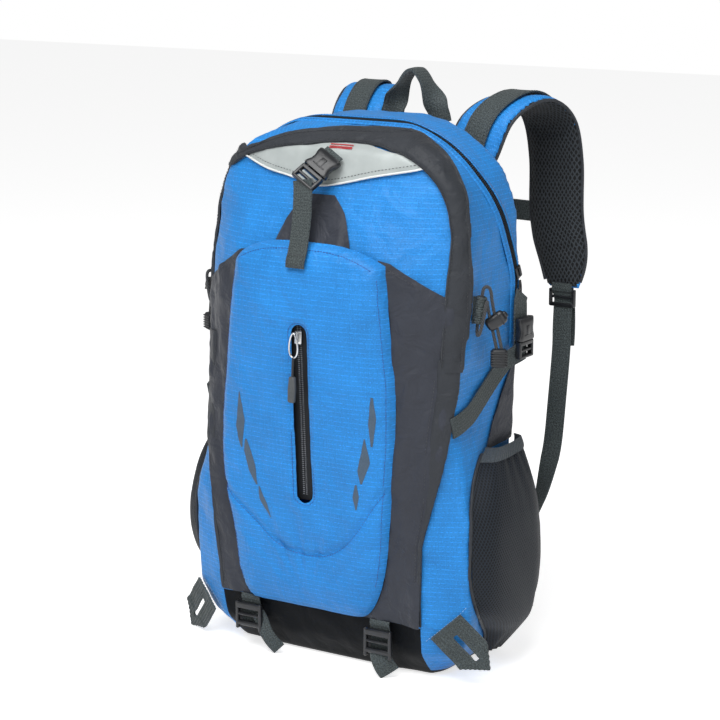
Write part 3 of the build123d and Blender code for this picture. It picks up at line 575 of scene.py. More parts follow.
def cut_distance(places, loops):
    """Distance of flat places from the nearest cut, positive on the cloth, and the nearest cut place."""
    best = np.full(len(places), 1e9)
    nearest = np.zeros((len(places), 2))
    crossings = np.zeros(len(places), int)
    for loop in loops:
        for a, b in zip(loop, np.roll(loop, -1, axis=0)):
            run = b - a
            t = np.clip((places - a) @ run / max(run @ run, 1e-9), 0, 1)
            foot = a + t[:, None] * run
            gap = np.linalg.norm(places - foot, axis=1)
            closer = gap < best
            best[closer] = gap[closer]
            nearest[closer] = foot[closer]
            if a[1] != b[1]:
                across = (a[1] > places[:, 1]) != (b[1] > places[:, 1])
                reach = a[0] + (places[:, 1] - a[1]) / (b[1] - a[1]) * run[0]
                crossings += across & (places[:, 0] < reach)
    return np.where(crossings % 2 == 1, best, -best), nearest


def line_distance(places, line):
    """Distance of flat places from an open line."""
    best = np.full(len(places), 1e9)
    for a, b in zip(line[:-1], line[1:]):
        run = b - a
        t = np.clip((places - a) @ run / max(run @ run, 1e-9), 0, 1)
        best = np.minimum(best, np.linalg.norm(places - a - t[:, None] * run, axis=1))
    return best


def cut_cloth(name, loops, step):
    """Flat cloth cut to outlines of (across, up) in mm: a grid whose edge is drawn onto the cut."""
    loops = [np.asarray(loop, float) for loop in loops]
    low = loops[0].min(axis=0) - step
    high = loops[0].max(axis=0) + step
    counts = np.ceil((high - low) / step).astype(int)
    bpy.ops.object.select_all(action="DESELECT")
    bpy.ops.mesh.primitive_grid_add(x_subdivisions=counts[0], y_subdivisions=counts[1])
    piece = bpy.context.object
    piece.name = name
    columns, rows = np.meshgrid(np.linspace(low[0], high[0], counts[0] + 1),
                                np.linspace(low[1], high[1], counts[1] + 1))
    flat = np.column_stack([columns.ravel(), rows.ravel()])
    depth, nearest = cut_distance(flat, loops)
    inner = depth > 0.35 * step
    flat = np.where(inner[:, None], flat, nearest)
    quads = np.empty(len(piece.data.loops), int)
    piece.data.loops.foreach_get("vertex_index", quads)
    keep = inner[quads.reshape(-1, 4)].any(axis=1)
    set_points(piece, np.column_stack([flat[:, 0], np.zeros(len(flat)), flat[:, 1]]))
    lone(piece)
    select_faces(piece, ~keep)
    bpy.ops.object.mode_set(mode="EDIT")
    bpy.ops.mesh.delete(type="FACE")
    bpy.ops.object.mode_set(mode="OBJECT")
    weld(piece, outwards=False)
    set_uv(piece, get_points(piece)[:, [0, 2]] * MM)
    return piece


POCKET_RIGHT = [(77, 379), (81, 345), (84, 305), (87, 268), (86, 215), (83, 170), (81, 138), (78, 114), (74, 95),
                (69, 79), (62, 65), (53, 55), (40, 51.5), (0, 51.5)]
POCKET_LEFT = [(-80, 374), (-84, 343), (-90, 305), (-95, 268), (-99, 238), (-101, 200), (-98, 165), (-91, 138),
               (-87.5, 110), (-85.5, 86), (-81, 66), (-73, 54), (-60, 51.5), (0, 51.5)]
pocket_sides = {1: smooth_line(POCKET_RIGHT, 70), -1: smooth_line(POCKET_LEFT, 70)}
top_turn = np.linspace(-1, 1, 33)[1:-1]
pocket_top = np.column_stack([top_turn * 78.5 - 1.5, 394.5 - 17 * np.abs(top_turn) ** 3])
pocket_loop = np.concatenate([pocket_sides[1], pocket_sides[-1][::-1][1:], pocket_top])
ZIP_X = -3.0
WINDOW_X = -0.8
slot_turn = np.linspace(0, math.pi, 9)
window = np.concatenate([
    np.column_stack([WINDOW_X + 8.6 * np.cos(slot_turn), 313.5 + 8.6 * np.sin(slot_turn)]),
    np.column_stack([WINDOW_X - 8.6 * np.cos(slot_turn), 165.5 - 8.6 * np.sin(slot_turn)]),
])
gather_seam = smooth_line([(-97, 163), (-74, 146), (-50, 128), (-31, 114), (-9, 109.5), (13, 110), (29, 116), (43, 127),
                           (55, 141), (65, 156), (80, 178)], 70)


def pocket_lift(flat):
    """How far the pocket stands off the bag at flat places, in mm."""
    flat = np.asarray(flat, float)
    x, z = flat.T
    rim, _ = cut_distance(flat, [pocket_loop])
    rim = np.maximum(rim, 0)
    opening, _ = cut_distance(flat, [window])
    from_slot = np.maximum(-opening, 0)
    at_top = np.clip((z - 340) / 40, 0, 1)
    start = 2.6 + at_top * 6.5 * np.clip(1.25 - np.abs(x) / 60, 0, 1)
    foot = np.clip((150 - z) / 90, 0, 1)
    reach = 13 + 26 * foot
    rise = np.sqrt(1 - (1 - np.clip(rim / reach, 0, 1)) ** 2)
    lift = start + (14.6 - start) * rise
    lift += 2.0 * np.sin(math.pi * np.clip((z - 60) / 320, 0, 1)) * np.clip(1 - (x / 85) ** 2, 0, 1)
    seam = line_distance(flat, gather_seam)
    lift -= 2.6 * np.exp(-(seam / 2.4) ** 2)
    spread = np.arctan2(x + 3, z - 60)
    below = np.clip((175 - z) / 60, 0, 1)
    folds = np.sin(spread * 19 + 0.6) + 0.6 * np.sin(spread * 34 + 2.0)
    lift += 1.0 * folds * below * np.exp(-(seam / 26) ** 2) * np.clip(rim / 12, 0, 1)
    puckers = np.sin(np.where(np.abs(x) > 30, z, x) * 2 * math.pi / 9)
    lift += 0.25 * puckers * np.exp(-((rim - 5) / 4) ** 2)
    lift -= 1.8 * np.exp(-(from_slot / 2.6) ** 2) - 0.7 * np.exp(-((from_slot - 6) / 2.4) ** 2)
    down = np.clip((200 - z) / 45, 0, 1) * (z > 120)
    lift += 1.6 * down * np.exp(-((x + 3) / 9) ** 2) * np.exp(-((z - 150) / 22) ** 2)
    return lift


pocket = cut_cloth("front_pocket_cloth", [pocket_loop, window], 2.6)
flat = get_points(pocket)[:, [0, 2]]
laid = on_front(flat[:, 0], flat[:, 1])
laid[:, 1] -= pocket_lift(flat)
laid[:, 1] += 0.45 * bumps(laid, 46, 5) + 0.22 * bumps(laid, 17, 6)
set_points(pocket, laid)
modify(pocket, "SOLIDIFY", thickness=1.2 * MM, offset=-1)
outfit(pocket, ripstop, "blue_nylon", "pack", "front_pocket")


def on_pocket(x, z, lift=0.0):
    """Places on the outside of the pocket, in mm."""
    laid = on_front(x, z)
    laid[:, 1] -= pocket_lift(np.column_stack([x, z])) + lift
    laid[:, 1] += 0.45 * bumps(laid, 46, 5) + 0.22 * bumps(laid, 17, 6)
    return laid


# ---- Stitching: lock-stitched polyester thread, each stitch a short slug on the cloth. ----
# A stitch is a slug of few corners, since there are very many of them.
def edge_normals(line, surface_normal):
    """Unit normals along a line, square to it."""
    along = np.gradient(line, axis=0)
    along /= np.linalg.norm(along, axis=1, keepdims=True)
    normal = surface_normal - along * np.sum(surface_normal * along, axis=1, keepdims=True)
    return along, normal / np.linalg.norm(normal, axis=1, keepdims=True)


def skin_normals(line):
    """Directions in which the bag's skin faces at places in mm."""
    return np.array([skin.find_nearest(Vector(p))[1] for p in line])


def evenly(line, pitch):
    """The same line with places every pitch mm."""
    run = np.concatenate([[0], np.cumsum(np.linalg.norm(np.diff(line, axis=0), axis=1))])
    wanted = np.arange(pitch / 2, run[-1], pitch)
    return np.column_stack([np.interp(wanted, run, line[:, k]) for k in range(3)])


def thread(name, colour):
    """Lock-stitch thread, its plies drawn as slanting bands."""
    material, tree, output = blank_material(name)
    place = add_node(tree, "TexCoord")
    plies = add_node(
        tree, "TexWave", {"Vector": place.outputs["Object"], "Scale": 900.0, "Distortion": 1.0},
        bands_direction="DIAGONAL",
    )
    bump = add_node(tree, "Bump", {"Height": plies.outputs["Fac"], "Distance": 0.0001, "Strength": 0.6})
    shader = add_node(
        tree, "BsdfPrincipled",
        {"Base Color": linear(colour), "Roughness": 0.55, "Sheen Weight": 0.2, "Normal": bump.outputs[0]},
    )
    finish_material(tree, output, shader)
    return material


SLUG = np.array([
    (-1, -0.6, -0.3), (-1, 0.6, -0.3), (-1, 0, 0.3), (-0.5, -1, 0), (-0.5, 1, 0), (-0.5, 0, 1),
    (0.5, -1, 0), (0.5, 1, 0), (0.5, 0, 1), (1, -0.6, -0.3), (1, 0.6, -0.3), (1, 0, 0.3),
])
SLUG_FACES = [(0, 1, 2), (0, 2, 5, 3), (2, 1, 4, 5), (1, 0, 3, 4), (3, 5, 8, 6), (5, 4, 7, 8), (4, 3, 6, 7),
              (6, 8, 11, 9), (8, 7, 10, 11), (7, 6, 9, 10), (9, 11, 10)]


def slugs(name, frames, corner_at, material, body, slot):
    """One mesh of many slugs: corner_at gives a corner of a slug from its frame and the corner's share."""
    corners = []
    faces = []
    for own in frames:
        start = len(corners)
        corners += [corner_at(*own, *share) for share in SLUG]
        faces += [[start + k for k in face] for face in SLUG_FACES]
    mesh = bpy.data.meshes.new(name)
    mesh.from_pydata([tuple(c * MM) for c in corners], [], faces)
    piece = bpy.data.objects.new(name, mesh)
    bpy.context.collection.objects.link(piece)
    weld(piece, distance=0.001 * MM)
    outfit(piece, material, slot, body)


def stitches(name, rows, material, body, slot, long=2.4, wide=0.55, pitch=3.6):
    """Rows of stitches; each row is a line of places in mm and the way its cloth faces."""
    frames = []
    for line, facing in rows:
        spots = evenly(np.asarray(line, float), pitch)
        normal = np.broadcast_to(facing, spots.shape) if np.ndim(facing) == 1 else skin_normals(spots)
        along, up = edge_normals(spots, normal)
        frames += list(zip(spots, along, up, np.cross(up, along)))

    def corner_at(spot, a, u, s, ca, cs, cu):
        return spot + a * ca * long / 2 + s * cs * wide / 2 + u * (cu * wide / 2 + 0.15)

    slugs(name, frames, corner_at, material, body, slot)


# Twisted polyester thread: a small sheen, a shade off the cloth that it holds.
blue_thread = thread("blue_polyester_thread", "#12509a")
grey_thread = thread("grey_polyester_thread", "#2b2e33")
OUTWARDS = np.array([0.0, -1.0, 0.0])
top_hem = np.column_stack([pocket_top[:, 0] * 0.97, pocket_top[:, 1] - 6])
rows = [(on_pocket(top_hem[:, 0], top_hem[:, 1]), OUTWARDS),
        (on_pocket(gather_seam[:, 0], gather_seam[:, 1] - 2.2), OUTWARDS)]
for side in (1, -1):
    inset = pocket_sides[side][2:54] - np.array([side * 4.0, 0])
    rows.append((on_pocket(inset[:, 0], inset[:, 1]), OUTWARDS))
slot_rim = np.concatenate([window, window[:1]])
rim_out = (slot_rim - (WINDOW_X, 242)) * (1.3, 1.02) + (WINDOW_X, 242)
rows.append((on_pocket(rim_out[:, 0], rim_out[:, 1]), OUTWARDS))
stitches("pocket_stitches", rows, blue_thread, "pack", "blue_nylon", long=2.2, wide=0.8, pitch=3.0)

# Reflective slashes: heat-pressed grey film, three on each side of the pocket.
film, tree, output = blank_material("grey_reflective_film")
place = add_node(tree, "TexCoord")
beads = add_node(tree, "TexVoronoi", {"Vector": place.outputs["Object"], "Scale": 900.0})
tone = add_node(
    tree, "MixRGB", {0: beads.outputs["Distance"], 1: linear("#33475a"), 2: linear("#46586a")}
)
bump = add_node(tree, "Bump", {"Height": beads.outputs["Distance"], "Distance": 0.0001, "Strength": 0.3})
shader = add_node(
    tree, "BsdfPrincipled",
    {"Base Color": tone.outputs[0], "Roughness": 0.38, "Metallic": 0.25, "Normal": bump.outputs[0]},
)
finish_material(tree, output, shader)
SLASHES = [
    [(-70.8, 255), (-65.2, 226), (-69.4, 195.6), (-76.2, 219)],
    [(-64, 211.7), (-54.7, 184.7), (-52.2, 164), (-62, 179), (-67.2, 197)],
    [(-51.6, 168.5), (-42, 149.5), (-38.6, 136), (-50.6, 153)],
    [(72, 272.6), (76, 244), (70.8, 211.6), (68.5, 238.7)],
    [(64.3, 227.3), (69.7, 204), (60.2, 180.8), (57.5, 196)],
    [(55.2, 186.6), (58, 171.3), (54.4, 156), (51.7, 170.4)],
]


def joined(name, pieces):
    """Several meshes as one piece."""
    lone(pieces[0])
    for piece in pieces:
        piece.select_set(True)
    bpy.ops.object.join()
    pieces[0].name = name
    return pieces[0]


slashes = []
for i, loop in enumerate(SLASHES):
    piece = cut_cloth(f"slash_{i}", [np.array(loop)], 1.5)
    flat = get_points(piece)[:, [0, 2]]
    set_points(piece, on_pocket(flat[:, 0], flat[:, 1], 0.25))
    slashes.append(piece)
slashes = joined("pocket_reflective_slashes", slashes)
modify(slashes, "SOLIDIFY", thickness=0.2 * MM, offset=-1)
outfit(slashes, film, "reflective", "pack")


# ---- Wings: dark grey nylon panels between the pocket and the corners of the bag. ----
# Each is sewn under the pocket and has a bound border along the corner, down to the base seam.
def flat_bumps(flat, size, seed):
    """Unevenness of cloth that lies on places across and up."""
    return bumps(np.column_stack([flat, flat[:, :1]]), size, seed)


# Oxford nylon: a dull charcoal, broken up by coarse soft creases. Threads are drawn coarser, to show.
charcoal = woven("charcoal_oxford_nylon", "#363941", 1.2, 0.14, 0.12, 0.52, coarse=0.011)
seam_thread = thread("dark_polyester_thread", "#26282c")
SEAM_STITCH = {"long": 2.0, "wide": 0.5, "pitch": 3.2}
WING_TOP = [(56, 384.5), (79, 380), (101, 367), (132, 346)]
side_levels = np.array([336, 310, 285, 260, 235, 210, 185, 160, 135, 110, 85, 66, BASE_SEAM_Z + 1])
under_pocket = smooth_line(POCKET_RIGHT, 60) - np.array([7, 0])
under_pocket = under_pocket[under_pocket[:, 1] > BASE_SEAM_Z + 1]
for tag, side in SIDES.items():
    edge = np.column_stack([section_at(side_levels)[0] - 0.8, side_levels])
    loop = np.vstack([WING_TOP, edge, [(30, BASE_SEAM_Z + 1)], under_pocket[::-1]]) * (side, 1)
    wing = cut_cloth(f"pocket_wing_cloth_{tag}", [loop], 3.0)
    flat = get_points(wing)[:, [0, 2]]
    rim, _ = cut_distance(flat, [loop])
    height = 1.5 + 1.3 * (1 - np.exp(-np.maximum(rim, 0) / 5))
    height += 1.3 * flat_bumps(flat * (1, 0.6), 42, 11 + side)
    height += 0.6 * flat_bumps(flat * (1, 0.5), 16, 14 + side)
    set_points(wing, on_front(flat[:, 0], flat[:, 1], np.maximum(height, 0.9)))
    modify(wing, "SOLIDIFY", thickness=0.9 * MM, offset=-1)
    outfit(wing, charcoal, "grey_nylon", "pack", "pocket_wings")
    top = smooth_line([(79, 375), (101, 362), (130, 341)], 30)
    row = (on_front(side * top[:, 0], top[:, 1], 3.0), OUTWARDS)
    stitches(f"wing_stitches_{tag}", [row], seam_thread, "pack", "grey_nylon", **SEAM_STITCH)


# ---- Storm flap: a folded band of grey nylon that hides the front zip, round the arch. ----
# It straddles the front edge on the right, lies on the front at the top, and lies behind the edge
# down the left side.
def front_arch(station, inset):
    """Place on the bag's front at a station along the arch, some mm in from its edge."""
    straight = ARCH_Z - BAND_END_Z
    if station < straight or station > straight + ARCH_LENGTH:
        z = BAND_END_Z + (station if station < straight else 2 * straight + ARCH_LENGTH - station)
        across = min(section_at(z)[0], ARCH_HALF) - inset
        return (across if station < straight else -across), z
    turn = math.pi * (station - straight) / ARCH_LENGTH
    across = math.copysign(abs(math.cos(turn)) ** 0.8 * (ARCH_HALF - inset), math.cos(turn))
    return across, ARCH_Z + (ARCH_RISE - 10 - inset) * math.sin(turn)


def band_place(station, inset):
    """Place some mm in from the bag's front edge; behind the edge where the inset is negative."""
    x, z = front_arch(station, max(inset, 0))
    edge_y = section_at(z)[2]
    return x, edge_y - min(inset, 0) + (front_y(x, z) - edge_y) * min(max(inset / 3, 0), 1), z


def edge_band(name, stations, insets, profile, ripples, seed, full):
    """A folded band of cloth that follows the front edge; insets are its two edges at each station."""
    shares, height = np.array(profile).T
    flat = np.array([[band_place(s, a + (b - a) * u) for u in shares] for s, (a, b) in zip(stations, insets)])
    laid = wrap(flat.reshape(-1, 3))
    facing = skin_normals(laid)
    ripple = np.sin(stations / 5.1 + 1.3 * np.sin(stations / 23)) * (0.4 + 0.4 * np.sin(stations / 41) ** 2)
    middle = np.exp(-((shares - 0.55) / 0.25) ** 2)
    lift = height[None, :] + ripples * ripple[:, None] * middle[None, :]
    lift = (full[:, None] * lift).ravel() + 0.3 * bumps(laid, 24, seed)
    piece = grid_piece(name, (laid + facing * np.maximum(lift, 0.2)[:, None]).reshape(flat.shape))
    weld(piece)
    modify(piece, "SOLIDIFY", thickness=0.9 * MM, offset=-1)
    outfit(piece, band_nylon, "grey_nylon", "pack", "front_zip_flap" if name == "storm_flap" else "pocket_wings")


BAND_END_Z = 286.0
ARCH_LENGTH = 290.0
BAND_LENGTH = 2 * (ARCH_Z - BAND_END_Z) + ARCH_LENGTH
FOLDED = [(0, 0.4), (0.02, 2.6), (0.06, 4.0), (0.12, 4.4), (0.18, 4.0), (0.24, 3.1), (0.3, 3.3), (0.42, 3.9),
          (0.55, 4.1), (0.68, 3.9), (0.78, 3.6), (0.86, 3.0), (0.91, 2.7), (0.95, 3.2), (0.985, 2.9), (1, 0.6)]
BOUND = [(0, 0.4), (0.04, 2.4), (0.12, 3.3), (0.25, 3.5), (0.4, 3.1), (0.6, 3.0), (0.8, 3.1), (0.92, 2.7), (1, 0.8)]
FLAP_EDGES = np.array([
    (0, -3, 13.5), (52, -5, 11.7), (92, -4.5, 10.6), (132, -1.5, 11.6), (152, -3.5, 9.5), (172, -5, 7.5),
    (192, -6, 6.6), (212, -4.5, 6.6), (232, -0.6, 8.2), (252, 1, 10.4), (272, 2.4, 13), (292, 2.8, 13),
    (312, 2.6, 10.4), (326, 1.6, 7), (340, 0, 4), (356, -4, 0.6), (374, -10, -1.2), (412, -15, -2), (518, -15, -2),
])
# The same cloth a shade darker, for the bands and the bindings.
band_nylon = woven("slate_oxford_nylon", "#33363b", 1.2, 0.14, 0.12, 0.5, coarse=0.009)
stations = np.linspace(0, BAND_LENGTH, 330)
flap_edges = np.column_stack([np.interp(stations, FLAP_EDGES[:, 0], FLAP_EDGES[:, k]) for k in (1, 2)])
edge_band("storm_flap", stations, flap_edges, FOLDED, 0.5, 21, np.ones(len(stations)))
band_rows = []
for share, up in ((0.24, 3.6), (0.9, 3.3)):
    line = wrap([band_place(s, a + (b - a) * share) for s, (a, b) in zip(stations[3:-3], flap_edges[3:-3])])
    line += skin_normals(line) * up
    for part in np.array_split(np.arange(len(line)), 24):
        piece = line[part[0]:part[-1] + 2]
        band_rows.append((piece, skin_normals(piece).mean(axis=0)))
stitches("storm_flap_stitches", band_rows, seam_thread, "pack", "grey_nylon", **SEAM_STITCH)

# Below the flap a bound border runs on down each corner, ever narrower, and closes the wing's edge.
BORDER = np.array([
    (54, -1, 3), (75, 0.5, 4.5), (90, 0, 4), (110, -1, 3.2), (130, -1, 3.4), (150, -1.2, 4.2), (170, -1.5, 6.3),
    (190, -1.6, 10.3), (210, -2, 13.9), (230, -2.4, 14.9), (300, -1.8, 15.2),
])
heights = np.linspace(54, 297, 120)
border_edges = np.column_stack([np.interp(heights, BORDER[:, 0], BORDER[:, k]) for k in (1, 2)])
for tag, side in SIDES.items():
    lengths = heights - BAND_END_Z
    stations = lengths if side > 0 else BAND_LENGTH - lengths
    edge_band(f"wing_border_{tag}", stations, border_edges, BOUND, 0.2, 23, np.clip((heights - 30) / 80, 0.3, 1))
    line = wrap([band_place(s, b + 1.8) for s, (a, b) in zip(stations[2:-8], border_edges[2:-8])], 2.9)
    stitches(f"wing_border_stitches_{tag}", [(line, OUTWARDS)], seam_thread, "pack", "grey_nylon",
             **SEAM_STITCH)


# ---- Tongue: a grey bellows gusset that closes the top of the pocket. ----
# It is sewn to the front along its sides, and stands off most where it meets the pocket.
TONGUE_HALF = np.array([(383, 41), (391, 39.5), (396, 38), (403, 35.5), (412, 32), (419, 28), (427, 21), (434, 13)])
rows = []
for t in np.linspace(0, 1, 26):
    z = 434 - 51 * t
    half = np.interp(z, TONGUE_HALF[:, 0], TONGUE_HALF[:, 1])
    row = []
    for s in np.linspace(-1, 1, 26):
        height = 1.0 + 8.0 * t ** 1.3 * (1 - 0.25 * abs(s) ** 4) * np.clip((1 - abs(s)) * 9, 0.12, 1)
        height += 1.3 * math.exp(-((abs(s) - 0.8) / 0.08) ** 2) * t
        row.append((s * half - 0.5, z, height))
    rows.append(row)
flat = np.array(rows)
laid = on_front(flat[:, :, 0].ravel(), flat[:, :, 1].ravel())
laid[:, 1] -= flat[:, :, 2].ravel() + 0.5 * bumps(laid, 22, 31)
tongue = grid_piece("pocket_tongue_cloth", laid.reshape(flat.shape))
weld(tongue, outwards=False)
modify(tongue, "SOLIDIFY", thickness=0.9 * MM, offset=1)
outfit(tongue, charcoal, "grey_nylon", "pack", "pocket_tongue")


# ---- Patch: silver coated fabric under the buckle, edged with thin white piping. ----
# Its corners run on under the storm flap; a red bar tack is sewn near its top edge.
# Fine glass beads in a grey coat give an even grey with a slight metal glint.
silver, tree, output = blank_material("silver_coated_fabric")
place = add_node(tree, "TexCoord")
grain = add_node(tree, "TexNoise", {"Vector": place.outputs["Object"], "Scale": 60.0, "Detail": 6.0})
tone = add_node(tree, "MixRGB", {0: grain.outputs["Fac"], 1: linear("#9fa6a5"), 2: linear("#bcc3c2")})
beads = add_node(tree, "TexVoronoi", {"Vector": place.outputs["Object"], "Scale": 1100.0})
bump = add_node(tree, "Bump", {"Height": beads.outputs["Distance"], "Distance": 0.0001, "Strength": 0.3})
shader = add_node(
    tree, "BsdfPrincipled",
    {"Base Color": tone.outputs[0], "Roughness": 0.42, "Metallic": 0.15, "Normal": bump.outputs[0]},
)
finish_material(tree, output, shader)
patch_foot = smooth_line(
    [(-95, 461), (-66, 452), (-38, 447), (-12, 441), (12, 443), (50, 452), (86, 459), (99, 463)], 70)
patch_top = smooth_line([(99, 463), (60, 474.5), (0, 481), (-60, 474.5), (-95, 461)], 60)
patch_loop = np.vstack([patch_foot, patch_top[1:-1]])
patch = cut_cloth("reflective_patch_cloth", [patch_loop], 2.6)
flat = get_points(patch)[:, [0, 2]]
rim, _ = cut_distance(flat, [patch_loop])
height = 0.8 + 1.1 * (1 - np.exp(-np.maximum(rim, 0) / 4))
height += 0.3 * flat_bumps(flat, 26, 41)
set_points(patch, on_front(flat[:, 0], flat[:, 1], height))
modify(patch, "SOLIDIFY", thickness=0.6 * MM, offset=-1)
outfit(patch, silver, "reflective", "pack", "reflective_patch")


def tube(name, line, radius, sides=8, ends=True):
    """A round bar of even thickness along a line of places in mm."""
    line = np.asarray(line, float)
    along = np.gradient(line, axis=0)
    along /= np.linalg.norm(along, axis=1, keepdims=True)
    up = np.array([0.0, 0.0, 1.0]) if abs(along[0][2]) < 0.9 else np.array([1.0, 0.0, 0.0])
    rows = []
    for place, way in zip(line, along):
        up = up - way * (up @ way)
        up /= np.linalg.norm(up)
        other = np.cross(way, up)
        turn = np.linspace(0, 2 * math.pi, sides + 1)[:, None]
        rows.append(place + radius * (np.cos(turn) * up + np.sin(turn) * other))
    piece = grid_piece(name, rows)
    weld(piece)
    if ends:
        close_ends(piece)
    return piece


# White woven piping: a thin bright line at the foot of the patch.
white_piping = woven("white_woven_piping", "#dfe1df", 1.0, 0.1, 0.1, 0.5)
piping = tube("patch_piping", on_front(patch_foot[:, 0], patch_foot[:, 1], 1.5), 1.0)
outfit(piping, white_piping, "reflective", "pack")
dots = patch_foot + (0, 4.5)
stitches("patch_stitches", [(on_front(dots[:, 0], dots[:, 1], 2.0), OUTWARDS)], grey_thread, "pack", "reflective",
         long=1.8, wide=0.6, pitch=3.4)
red_thread = thread("red_polyester_thread", "#c5202c")
tack_rows = []
for k in range(3):
    z = 474.0 + 1.3 * k
    line = on_front(np.linspace(-2, 22, 20), np.full(20, z), 2.0)
    tack_rows.append((line, skin_normals(line).mean(axis=0)))
stitches("red_bar_tack", tack_rows, red_thread, "pack", "reflective", long=1.7, wide=1.1, pitch=1.5)


# ---- Webbing: ribbed polyester tape in grey-green melange. ----
# The front strap is sewn to the pocket with a box stitch, and runs up into its buckle.
# Dark and light yarn give a grey-green speckle; the ribs are drawn coarser than real ones, to show.
webbing = woven("grey_polyester_webbing", "#434a4b", 3.0, 0.6, 0.12, 0.65, speckle=(0.5, 1.5), fleck=0.85)


def tape(name, line, facing, width, thick, sag=0.0):
    """Flat woven tape along a line of places in mm; facing is the way its face looks."""
    line = np.asarray(line, float)
    along, up = edge_normals(line, np.broadcast_to(np.asarray(facing, float), line.shape))
    other = np.cross(up, along)
    half = width / 2
    profile = [(-half, 0), (-half + 0.5, thick / 2), (-half * 0.5, thick / 2 + sag), (0, thick / 2 + sag * 1.3),
               (half * 0.5, thick / 2 + sag), (half - 0.5, thick / 2), (half, 0), (half - 0.5, -thick / 2),
               (half * 0.5, sag - thick / 2), (0, sag * 1.3 - thick / 2), (-half * 0.5, sag - thick / 2),
               (-half + 0.5, -thick / 2), (-half, 0)]
    rows = [[place + o * a + u * h for a, h in profile] for place, o, u in zip(line, other, up)]
    piece = grid_piece(name, rows)
    weld(piece)
    close_ends(piece)
    return piece


strap_line = smooth_line([(ZIP_X, -105.2, 373), (ZIP_X, -104.6, 379), (ZIP_X, -99.5, 391), (ZIP_X - 0.3, -93.5, 415),
                          (ZIP_X - 1.2, -90.5, 434), (-5.2, -88.6, 443), (-6.4, -87.6, 449)], 40)
strap = tape("front_strap_webbing", strap_line, (0, -1, 0.1), 20, 1.7)
strap.data.materials.append(webbing)
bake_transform(strap)
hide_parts("front_strap")


def box_side(places):
    """A row of the box stitch, from places across and up on the strap."""
    return np.array([(ZIP_X + dx, -106.6 + dz * 0.16, 375 + dz * 0.9) for dx, dz in places]), OUTWARDS


box_stitch = [box_side([(dx, dz) for dx in np.linspace(-8, 8, 9)]) for dz in (0, 11)]
box_stitch += [box_side([(dx, dz) for dz in np.linspace(0, 11, 6)]) for dx in (-8, 8)]
stitches("front_strap_stitches", box_stitch, grey_thread, "pack", "webbing", long=1.8, wide=0.6, pitch=2.6)


# ---- Zips: nylon coil zips. Black woven tape, two rows of coil, blue welts over the main one. ----
# The main zip runs round the bag behind the front; the pocket zip stands upright in its window.
# Woven polyester tape: near-black, and dull beside the coil.
zip_tape = woven("black_woven_zip_tape", "#17191d", 0.9, 0.14, 0.1, 0.6)


def nylon_coil(name, low, high):
    """Extruded nylon filament: dark, with small glints painted in as lighter, glossier spots of noise."""
    material, tree, output = blank_material(name)
    place = add_node(tree, "TexCoord")
    painted_glints = add_node(tree, "TexNoise", {"Vector": place.outputs["Object"], "Scale": 400.0, "Detail": 3.0})
    rough = add_node(tree, "MapRange", {"Value": painted_glints.outputs["Fac"], "To Min": 0.25, "To Max": 0.5})
    # Lighter, glossier spots of noise: painted glints.
    tone = add_node(tree, "MixRGB", {0: painted_glints.outputs["Fac"], 1: linear(low), 2: linear(high)})
    shader = add_node(
        tree, "BsdfPrincipled",
        {"Base Color": tone.outputs[0], "Roughness": rough.outputs[0], "IOR": 1.53},
    )
    finish_material(tree, output, shader)
    return material


coil = nylon_coil("black_nylon_zip_coil", "#121416", "#26292c")
# The pocket zip's dark coil is drawn in lighter colours, a painted highlight, so that its glints show.
coil_painted_glints = nylon_coil("dark_nylon_zip_coil_painted_glints", "#3c4046", "#6a6f76")


def ribbon_on_skin(name, line, section, facing=None):
    """A strip laid along a line on the bag; section gives places across it and off it, in mm."""
    facing = skin_normals(line) if facing is None else facing
    along, up = edge_normals(line, facing)
    other = np.cross(up, along)
    columns = []
    for across, height in section:
        spots = wrap(line + other * across)
        columns.append(spots + skin_normals(spots) * height)
    return grid_piece(name, np.stack(columns, axis=1))


def coil_teeth(name, line, facing, material, body, slot, long=4.4, wide=1.15, pitch=1.9):
    """Coil of a zip: short slugs across the line."""
    spots = evenly(line, pitch)
    where = np.array([np.argmin(np.linalg.norm(line - s, axis=1)) for s in spots])
    along, up = edge_normals(spots, facing[where])

    def corner_at(spot, a, u, s, ca, cs, cu):
        return spot + s * ca * long / 2 + a * cs * wide / 2 + u * (cu * 0.7 + 0.2)

    slugs(name, zip(spots, along, up, np.cross(up, along)), corner_at, material, body, slot)


ZIP_LINE = np.array([(292, 50), (361, 46), (430, 14), (455, 2), (505, -8)])
low_z = np.linspace(292, 398, 40)
low_y = np.interp(low_z, ZIP_LINE[:, 0], ZIP_LINE[:, 1])
right_run = np.column_stack([side_x(low_y, low_z), low_y, low_z])
turns = np.linspace(0, math.pi, 121)
over_x, over_z = arch_point(turns)
over = np.column_stack([over_x, np.interp(over_z, ZIP_LINE[:, 0], ZIP_LINE[:, 1]), over_z])
main_line = np.vstack([right_run, over[1:-1], (right_run * (-1, 1, 1))[::-1]])
main_line = smooth_line(main_line[::6], 420)
main_line = wrap(main_line)
kernel = np.ones(9) / 9
main_facing = skin_normals(main_line)
main_facing = np.column_stack(
    [np.convolve(np.pad(main_facing[:, k], 4, mode="edge"), kernel, "valid") for k in range(3)])
tape_section = [(-6, 0.2), (-5.5, 0.7), (-3, 1.0), (3, 1.0), (5.5, 0.7), (6, 0.2)]
tape_piece = ribbon_on_skin("main_zip_tape", main_line, tape_section, main_facing)
outfit(tape_piece, zip_tape, "zip_tape", "pack", "main_zip")
coil_teeth("main_zip_coil", main_line + main_facing * 1.3, main_facing, coil, "pack", "zip_tape", long=5.2)
